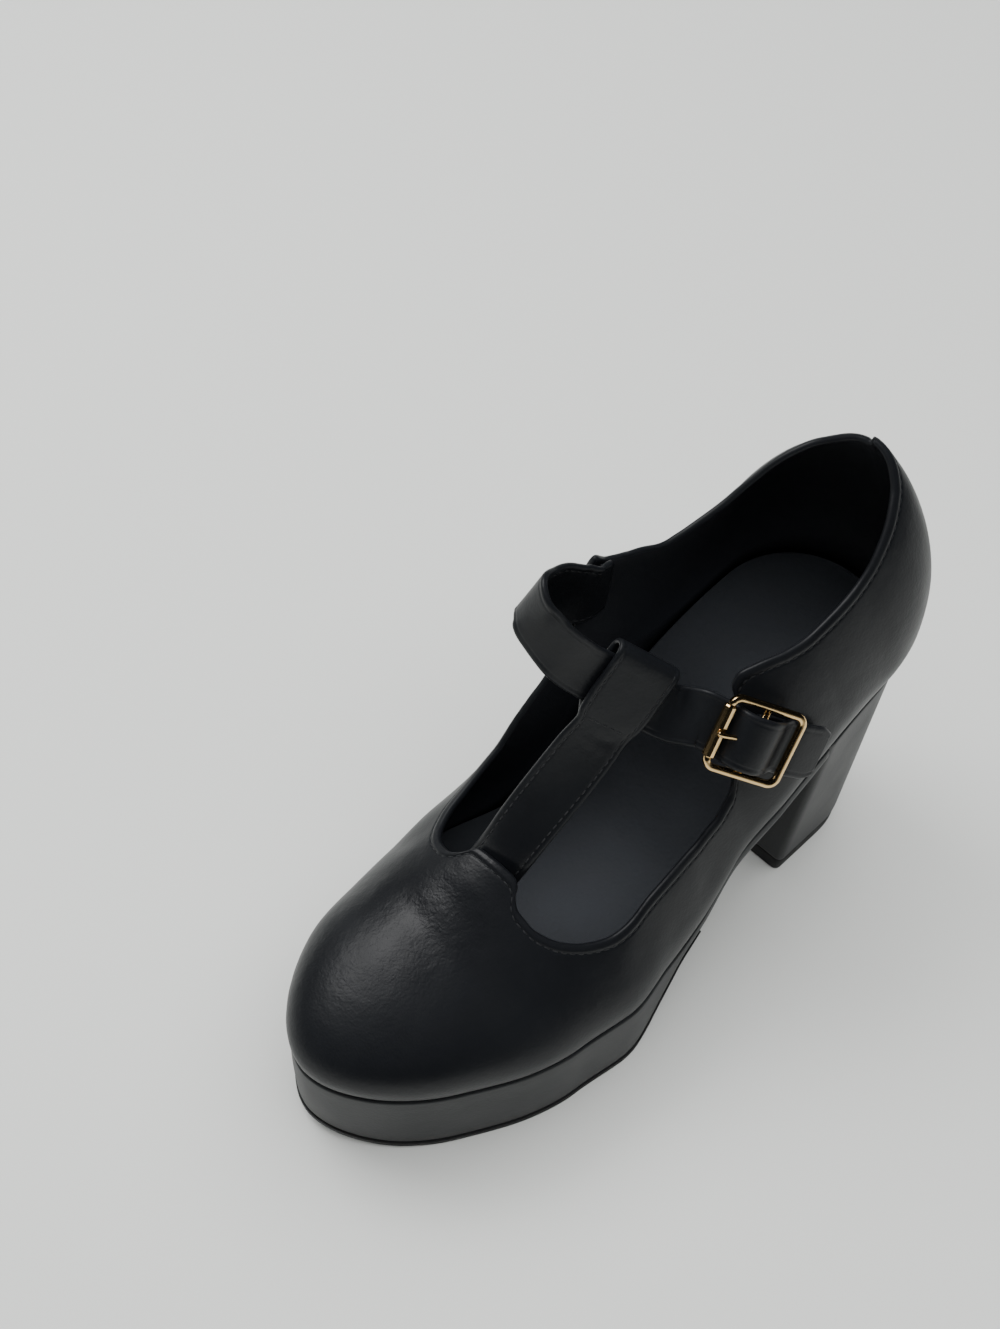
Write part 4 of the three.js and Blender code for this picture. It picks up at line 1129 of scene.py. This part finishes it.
@dataclass
class InstepStrap:
    """Strap from inside the medial quarter over the instep, through the buckle to its tail."""

    thickness: float = 2.0
    half: float = 8.5
    tail: tuple[float, ...] = (13.5, 17, 20.6, 24)
    tail_lift: float = 3.3
    tail_taper: float = 0.86
    hole_at: tuple[float, float, float] = (4.0, 0, 3.12)
    hole_rings: tuple[tuple[float, float], ...] = (
        (0.05, -0.25), (0.7, -0.22), (0.85, 0.02), (1.0, 0.06), (1.25, -0.05),
    )
    folds: tuple[Fold, ...] = (
        Fold((4.5, 103, 97), (3.0, 96, 109), 0.3, 1.2),
        Fold((8.2, 100, 97), (6.6, 93, 109), 0.34, 1.3),
        Fold((11.6, 98.5, 97), (10.2, 91, 109), 0.3, 1.2),
        Fold((-34.6, 101, 118), (-33.5, 100, 134), 0.3, 1.6),
        Fold((-36.6, 111, 124), (-34.5, 108, 138), 0.25, 2.0),
    )
    crumples: tuple[tuple[float, float, float, float], ...] = ((8, 97, 103, 7), (-35, 104, 126, 8))
    steps: int = 260
    sewn: tuple[float, float] = (0.02, 0.985)

    def build(self) -> list[bpy.types.Object]:
        """Builds the strap and its spare hole.

        Returns:
            Both pieces.
        """
        centres = [world(r.x, r.along, r.height) for r in STRAP_ROWS]
        ups = [world(r.ux, r.ua, r.uh) for r in STRAP_ROWS]
        for s, rise in STRAP_IN_BUCKLE:
            centres.append(BUCKLE.place(s, 0, rise))
            ups.append(BUCKLE.t * self.half)
        for i, reach in enumerate(self.tail):
            half = self.half * (self.tail_taper if i == len(self.tail) - 1 else 1)
            centre, up = laid_row(reach, self.tail_lift, half)
            centres.append(centre)
            ups.append(up)
        strip = Strip(np.array(centres), np.array(ups), np.zeros(len(centres)), self.thickness,
                      self.steps, folds=self.folds, crumples=self.crumples)
        sheet = Sheet()
        strip.build(sheet, self.sewn)
        made = [sheet.piece("strap", "upper_leather", [Finish.UPPER], ["instep_strap"])]
        hole = Sheet()
        self.spare_hole(hole)
        made.append(hole.piece("strap_hole", "upper_leather", [Finish.RUBBER]))
        return made

    def spare_hole(self, sheet: Sheet) -> None:
        """A shallow dark dish with a pressed rim where the spare hole is punched.

        Args:
            sheet: The sheet that takes it.
        """
        centre = BUCKLE.place(*self.hole_at)
        way = unit(BUCKLE.s * 0.8 - BUCKLE.rise * 0.6)
        out = unit(np.cross(way, BUCKLE.t))
        angle = np.linspace(0, 2 * math.pi, 25)[:-1]
        circle = way * np.cos(angle)[:, None] + BUCKLE.t * np.sin(angle)[:, None]
        sheet.grid(np.array([centre + circle * r + out * h for r, h in self.hole_rings]), caps=True)


@dataclass
class TBar:
    """Strip from under the vamp up to the strap, over it, round its upper edge and down behind."""

    thickness: float = 1.8
    base: float = -3.7
    fold: float = 2.75
    top: float = 9.2
    tail: float = -12.5
    half: float = 10.6
    cross_row: float = 7.45
    cross_reach: float = 0.84
    folds: tuple[Fold, ...] = (Fold((-14, 121, 103), (0, 117, 98), 0.25, 1.4),)
    crumples: tuple[tuple[float, float, float, float], ...] = ((-8, 121, 101, 8), (-6, 104, 119, 8))
    steps: int = 220
    sewn: tuple[float, float] = (0.03, 0.6)

    def build(self) -> bpy.types.Object:
        """Builds the T-bar with its loop and the cross row that closes the loop.

        Returns:
            The T-bar.
        """
        before, here, after = (STRAP_ROWS[CROSSING + k] for k in (-1, 0, 1))
        run = unit(world(*after[:3]) - world(*before[:3]))
        hub, up = world(*here[:3]), world(*here[3:6])
        up = unit(up - run * (up @ run))
        out = np.cross(run, up)
        rows = [(LAST.lifted(along, -0.01, self.base - sink), world(*T_BAR_ROWS[0][3:6]), camber)
                for along, sink, camber in ((168, 0, 3), (161.5, 0.1, 3), (156.5, 0.7, 2.9))]
        rows += [(world(*r[:3]), world(*r[3:6]), r.camber) for r in T_BAR_ROWS]

        def add(s: float, n: float, half: float = self.half) -> None:
            """Adds a row at a place beside the strap."""
            rows.append((hub + up * s + out * n, run * half, 0.0))

        for s, n, half in ((-12.6, 2.6, 9.2), (-8.6, self.fold, 10.2), (-4, self.fold, self.half),
                           (3, self.fold, self.half)):
            add(s, n, half)
        for angle in np.linspace(0, math.pi, 7):
            add(self.top + self.fold * math.sin(angle), self.fold * math.cos(angle))
        for s, n, half in ((3, -self.fold, self.half), (-4, -self.fold, self.half), (-9, -self.fold, 8.6),
                           (self.tail, 0.4 - self.fold, 6.8)):
            add(s, n, half)
        strip = Strip(np.array([r[0] for r in rows]), np.array([r[1] for r in rows]),
                      np.array([r[2] for r in rows]), self.thickness, self.steps,
                      folds=self.folds, crumples=self.crumples)
        sheet = Sheet()
        strip.build(sheet, self.sewn)
        centre, side, face, half, _ = strip.frames()
        k = int(round(self.cross_row / (len(rows) - 1) * strip.count))
        across = np.linspace(-self.cross_reach, self.cross_reach, 12)[:, None] * half[k] * side[k]
        STITCHES.row(centre[k] + across + face[k] * (self.thickness / 2 - 0.02), np.tile(face[k], (12, 1)))
        return sheet.piece("t_bar", "upper_leather", [Finish.UPPER], ["t_strap"])


@dataclass
class Chape:
    """Short tab that holds the buckle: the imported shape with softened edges."""

    soften: float = 0.35
    weld_m: float = 1e-5
    sharp_degrees: float = 35.0

    def build(self) -> bpy.types.Object:
        """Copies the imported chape, rounds its edges and gives it the upper's leather.

        Returns:
            The tab.
        """
        mesh = frame["nodes"]["buckle_chape"].data.copy()
        obj = link("buckle_tab", mesh)
        mesh.materials.clear()
        mesh.materials.append(WARDROBE.get(Finish.UPPER))
        obj.modifiers.new("weld", "WELD").merge_threshold = self.weld_m
        bevel = obj.modifiers.new("soft edge", "BEVEL")
        bevel.width, bevel.segments, bevel.limit_method = self.soften * MM, 2, "ANGLE"
        bevel.angle_limit = math.radians(self.sharp_degrees)
        mesh.polygons.foreach_set("use_smooth", [True] * len(mesh.polygons))
        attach(obj, BODY)
        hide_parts("buckle_chape")
        LOG.info("buckle_tab: %d faces", len(mesh.polygons))
        return obj


@dataclass
class Sole:
    """Wrapped platform with its outsole, and the insole: slabs that follow the last's lower edge."""

    rand: float = 0.8
    gap: float = 0.3
    breast: float = 57.6
    outsole: float = 1.9
    outsole_back: float = 108.0
    outsole_rand: float = 1.15
    skive: float = 0.55
    insole: float = 2.6
    wall: float = 2.0
    bond: float = 0.15
    laid: float = 0.1
    toe_start: float = 162.5
    skive_from: float = 110.0
    skive_run: float = 14.0
    toe_steps: int = 60

    def stations(self, start: float, step: float, heel: bool = False) -> tuple[Array, Array]:
        """Chart of stations on the lateral side from the back to the toe's tip.

        Args:
            start: Place of the first one in mm.
            step: Distance between them in mm.
            heel: Whether the round at the heel comes first.

        Returns:
            Their along and turn.
        """
        straight = np.arange(start, self.toe_start, step)
        angle = np.radians(90 - 90 * np.arange(self.toe_steps + 1) / self.toe_steps)
        reach = LAST.length - LAST.toe_centre
        along = np.concatenate([straight, LAST.toe_centre + 1e-6 + reach * math.pi / 2 * np.cos(angle)])
        turn = np.concatenate([np.ones(len(straight)), np.sin(angle)])
        if heel:
            back = np.radians(90 * np.arange(31) / 30)
            behind = LAST.heel_centre - LAST.heel_centre * math.pi / 2 * np.cos(back)
            along = np.concatenate([behind, along])
            turn = np.concatenate([np.sin(back), turn])
        return along, turn

    def slab(self, chart: tuple[Array, Array], grow: float, low: Callable[[float], Array],
             high: Callable[[float], Array], bevel: float, belly: float, dish: float = 0.0) -> Array:
        """Rings of a slab with rounded edges.

        Args:
            chart: Stations from stations().
            grow: How far it stands out of the upper's lower edge.
            low: Height of the underside by place.
            high: Height of the top by place.
            bevel: Radius of its edges.
            belly: How far its side swells.
            dish: How far its top dips in the middle.

        Returns:
            Points as stations, points, 3.
        """
        along, turn = chart
        arc = np.radians(np.linspace(0, 90, 6))
        wall = np.linspace(0, 1, 9)[1:-1]
        rings = []
        for a, t in zip(along, turn):
            plans = []
            for side in (1, -1):
                plans.append((LAST.point(a, side * t), *LAST.outward(a, side * t)))
            where = -plans[0][0][1] + plans[0][1] * grow
            z0, z1 = float(low(where)), float(high(where))
            profile = [(-bevel + bevel * math.sin(v), z0 + bevel - bevel * math.cos(v)) for v in arc]
            rise = z1 - z0 - 2 * bevel
            profile += [(belly * math.sin(math.pi * w), z0 + bevel + rise * w) for w in wall]
            profile += [(-bevel + bevel * math.cos(v), z1 - bevel + bevel * math.sin(v)) for v in arc]

            def at(side: int, out: float, z: float) -> Array:
                """A point of the slab's side."""
                p, c, d = plans[side]
                return np.array([p[0] + d * (grow + out), p[1] - c * (grow + out), z])

            right = [at(0, o, z) for o, z in profile]
            left = [at(1, o, z) for o, z in profile[::-1]]
            span = np.linspace(0, 1, 10)[1:-1]
            top = [right[-1] + (left[0] - right[-1]) * s - np.array([0, 0, dish * math.sin(math.pi * s)])
                   for s in span]
            under = [left[-1] + (right[0] - left[-1]) * s for s in span]
            rings.append(np.array(right + top + left + under))
        return np.array(rings)

    def seat(self, along: float) -> Array:
        """Height of the platform's top."""
        return LAST.columns["feather"](along) - self.gap - self.bond

    def shank(self, along: float) -> Array:
        """Height of the outsole's upper face."""
        return UNDER(along) - self.gap - self.laid

    def tread(self, along: float) -> Array:
        """Height of the outsole's lower face, which rises where the rubber thins out."""
        full = np.clip((along - self.skive_from) / self.skive_run, 0, 1)
        return self.shank(along) - (self.skive + (self.outsole - self.skive) * full)

    def bed(self, along: float) -> Array:
        """Height of the insole's underside."""
        return LAST.columns["feather"](along) + self.bond

    def cushion(self, along: float) -> Array:
        """Height of the insole's top."""
        return self.bed(along) + self.insole

    def build(self) -> list[bpy.types.Object]:
        """Builds platform, outsole and insole.

        Returns:
            The three pieces.
        """
        platform, outsole, insole = Sheet(), Sheet(), Sheet()
        chart = self.stations(self.breast, 1.5)
        rings = self.slab(chart, self.rand, UNDER, self.seat, bevel=0.9, belly=0.25)
        platform.grid(rings, caps=True)
        made = [platform.piece("platform_wrap", "sole_wrap", [Finish.WRAP], ["platform"])]
        chart = self.stations(self.outsole_back, 1.0)
        rings = self.slab(chart, self.outsole_rand, self.tread, self.shank, bevel=0.24, belly=0.0)
        outsole.grid(rings, caps=True)
        made.append(outsole.piece("outsole_rubber", "tread_rubber", [Finish.RUBBER], ["outsole"]))
        chart = self.stations(LAST.heel_centre + 1, 1.5, heel=True)
        rings = self.slab(chart, -self.wall - 0.5, self.bed, self.cushion, bevel=0.8, belly=0.0, dish=0.7)
        insole.grid(rings, caps=True)
        made.append(insole.piece("insole_cover", "lining", [Finish.INSOLE], ["insole"]))
        return made


@dataclass
class Heel:
    """Wrapped block heel, D-shaped and narrower at the floor, with a rubber tip under it."""

    back: float = 8.5
    front: float = 56.3
    half: float = 31.4
    rounding: float = 25.7
    power: float = 2.5
    tip: float = 6.0
    corner: float = 2.2
    breast: float = 57.3
    rand: float = 0.8
    gap: float = 0.3
    bond: float = 0.15
    side_steps: int = 14
    round_steps: int = 26
    wall_steps: int = 22
    edge_round: tuple[tuple[float, float], ...] = ((0.0, 0.8), (0.003, 0.3), (0.008, 0.05), (0.02, 0.0))

    def ring(self, share: float, inset: float) -> tuple[Array, Array, Array]:
        """Outline at a share of the height: x, along, and the seat's along above it.

        Args:
            share: 0 at the tread, 1 at the seat.
            inset: How far it draws in, in mm.

        Returns:
            The outline's x and along, and the along of the seat above it.
        """
        front, half, centre = self.front - inset, self.half - inset, self.back + self.rounding
        halves = []
        for sign in (1, -1):
            top, bottom = [], []

            def seat(along: float, turn: float) -> tuple[float, float]:
                """Finds a point of the seat's edge in plan.

                Args:
                    along: Place along the foot in mm.
                    turn: 1 on the side, 0 at the back.

                Returns:
                    Its x and along.
                """
                p, grow = LAST.point(along, sign * turn), self.rand - inset
                c, d = LAST.outward(along, sign * turn)
                return float(p[0] + d * grow), float(-p[1] + c * grow)

            wide = seat(self.breast - self.corner, 1.0)[0]
            for v in np.radians(np.linspace(0, 60, 5)):
                dx, dy = self.corner * (1 - math.sin(v)), self.corner * (1 - math.cos(v))
                top.append((wide - sign * dx, self.breast - inset - dy))
                bottom.append((sign * (half - dx), front - dy))
            for t in np.arange(self.side_steps) / self.side_steps:
                along = self.breast - self.corner - inset
                top.append(seat(along + (LAST.heel_centre - along) * t, 1.0))
                bottom.append((sign * half, front - self.corner + (centre - front + self.corner) * t))
            last_turn = self.round_steps + (1 if sign > 0 else 0)
            for v in np.radians(90 - 90 * np.arange(last_turn) / self.round_steps):
                along = LAST.heel_centre - LAST.heel_centre * math.pi / 2 * math.cos(v)
                top.append(seat(along, math.sin(v)))
                spread = abs(math.sin(v)) ** (2 / self.power), abs(math.cos(v)) ** (2 / self.power)
                bottom.append((sign * half * spread[0], centre - (self.rounding - inset) * spread[1]))
            halves.append((top, bottom))
        upper = np.array(halves[0][0] + halves[1][0][::-1])
        lower = np.array(halves[0][1] + halves[1][1][::-1])
        plan = lower + (upper - lower) * share
        return plan[:, 0], plan[:, 1], upper[:, 1]

    def build(self) -> list[bpy.types.Object]:
        """Builds the wrapped block and its tip.

        Returns:
            Both pieces.
        """
        feather = LAST.columns["feather"]
        foot = self.tip + self.gap
        levels = [*self.edge_round, *((s, 0.0) for s in np.linspace(0.05, 0.95, self.wall_steps))]
        levels += [(1 - s, i) for s, i in self.edge_round[::-1]]
        rings = []
        for share, inset in levels:
            x, along, seat = self.ring(share, inset)
            z = foot + (feather(seat) - self.gap - self.bond - foot) * share
            rings.append(np.stack([x, -along, z], axis=1))
        block = Sheet()
        block.grid(np.array(rings), caps=True)
        made = [block.piece("heel_wrap", "sole_wrap", [Finish.WRAP], ["heel_block"])]
        rings = []
        for z, inset in ((0, 0.9), (0.3, 0.5), (0.8, 0.4), (self.tip - 0.5, 0.4), (self.tip, 0.9)):
            x, along, _ = self.ring(0.0, inset)
            rings.append(np.stack([x, -along, np.full(len(x), float(z))], axis=1))
        tip = Sheet()
        tip.grid(np.array(rings), caps=True)
        made.append(tip.piece("heel_tread", "tread_rubber", [Finish.RUBBER], ["heel_tip"]))
        return made


@dataclass
class Studio:
    """Pale floor, soft lights and the camera at the photograph's angle."""

    azimuth: float = 43.14
    elevation: float = 51.15
    roll: float = 3.27
    distance: float = 0.56456
    target: tuple[float, float, float] = (-0.09766, -0.02987, 0.0)
    focal_px: float = 1499.7
    image_height_px: float = 1329.0
    sensor_mm: float = 36.0
    floor_colour: str = "#dcdedb"
    low_colour: str = "#e6e9e8"
    high_colour: str = "#25282c"
    world_strength: float = 0.42
    daylight_power: float = 4.4
    daylight_spread: float = 95.0
    lamp_place: tuple[float, float, float] = (-0.68, -0.18, 0.95)
    lamp_size: float = 0.55
    lamp_power: float = 6.5
    aim: tuple[float, float, float] = (0, -0.06, 0.05)
    sun_way: tuple[float, float, float] = (0.06, -0.16, -1)
    horizon: tuple[float, float] = (-0.02, 0.24)
    floor_reach: float = 30.0
    floor_roughness: float = 0.75

    def camera(self) -> None:
        """Places the camera."""
        a, e, r = (math.radians(v) for v in (self.azimuth, self.elevation, self.roll))
        back = Vector((math.sin(a) * math.cos(e), -math.cos(a) * math.cos(e), math.sin(e)))
        right = Vector((math.cos(a), math.sin(a), 0))
        up = back.cross(right)
        x, y = right * math.cos(r) + up * math.sin(r), up * math.cos(r) - right * math.sin(r)
        data = bpy.data.cameras.new("camera")
        data.sensor_width = self.sensor_mm
        data.lens = self.focal_px / self.image_height_px * self.sensor_mm
        data.clip_start = 0.02
        obj = link("camera", data)
        place = Vector(self.target) + back * self.distance
        obj.matrix_world = Matrix([[x[i], y[i], back[i], place[i]] for i in range(3)] + [[0, 0, 0, 1]])
        bpy.context.scene.camera = obj

    def light(self, name: str, place: tuple[float, float, float], size: float, power: float) -> None:
        """Adds a square soft light that faces the shoe.

        Args:
            name: Its name.
            place: Where it hangs, in m.
            size: Its side in m.
            power: Its power in W.
        """
        data = bpy.data.lights.new(name, "AREA")
        data.size, data.energy = size, power
        obj = link(name, data)
        obj.location = place
        obj.rotation_euler = (Vector(self.aim) - Vector(place)).to_track_quat("-Z", "Y").to_euler()

    def daylight(self) -> None:
        """Adds the even light from the ceiling, which glossy surfaces don't show."""
        data = bpy.data.lights.new("daylight", "SUN")
        data.energy, data.angle = self.daylight_power, math.radians(self.daylight_spread)
        obj = link("daylight", data)
        obj.rotation_euler = Vector(self.sun_way).to_track_quat("-Z", "Y").to_euler()
        obj.visible_glossy = False

    def floor(self) -> None:
        """Adds the pale floor, so wide that its edge is far off."""
        material = bpy.data.materials.new("pale_paper")
        material.use_nodes = True
        shader = material.node_tree.nodes["Principled BSDF"]
        shader.inputs["Base Color"].default_value = linear(self.floor_colour)
        shader.inputs["Roughness"].default_value = self.floor_roughness
        mesh = bpy.data.meshes.new("floor")
        reach = self.floor_reach
        mesh.from_pydata([(-reach, -reach, 0), (reach, -reach, 0), (reach, reach, 0), (-reach, reach, 0)],
                         [], [(0, 1, 2, 3)])
        mesh.materials.append(material)
        obj = link("floor", mesh)

    def build(self) -> None:
        """Builds camera, floor, lights and surroundings."""
        self.camera()
        self.floor()
        self.daylight()
        self.light("lamp", self.lamp_place, self.lamp_size, self.lamp_power)
        surround = bpy.data.worlds.new("surround")
        surround.use_nodes = True
        tree = surround.node_tree
        tree.nodes.clear()
        way = put(tree, "ShaderNodeSeparateXYZ",
                  links={0: put(tree, "ShaderNodeTexCoord").outputs["Generated"]})
        low, high = self.horizon
        rise = put(tree, "ShaderNodeMapRange", {"From Min": low, "From Max": high},
                   {"Value": way.outputs[2]}, interpolation_type="SMOOTHSTEP")
        tone = put(tree, "ShaderNodeMix", {6: linear(self.low_colour), 7: linear(self.high_colour)},
                   {0: rise.outputs[0]}, data_type="RGBA")
        glow = put(tree, "ShaderNodeBackground", {"Strength": self.world_strength},
                   {"Color": tone.outputs[2]})
        put(tree, "ShaderNodeOutputWorld", links={"Surface": glow.outputs[0]})
        bpy.context.scene.world = surround


def main() -> None:
    """Builds the shoe and its studio."""
    logging.basicConfig(level=logging.INFO, format="%(name)s %(message)s")
    Upper().build()
    TBar().build()
    InstepStrap().build()
    Chape().build()
    BUCKLE.build()
    Sole().build()
    Heel().build()
    STITCHES.piece()
    Studio().build()


if __name__ == "__main__":
    main()
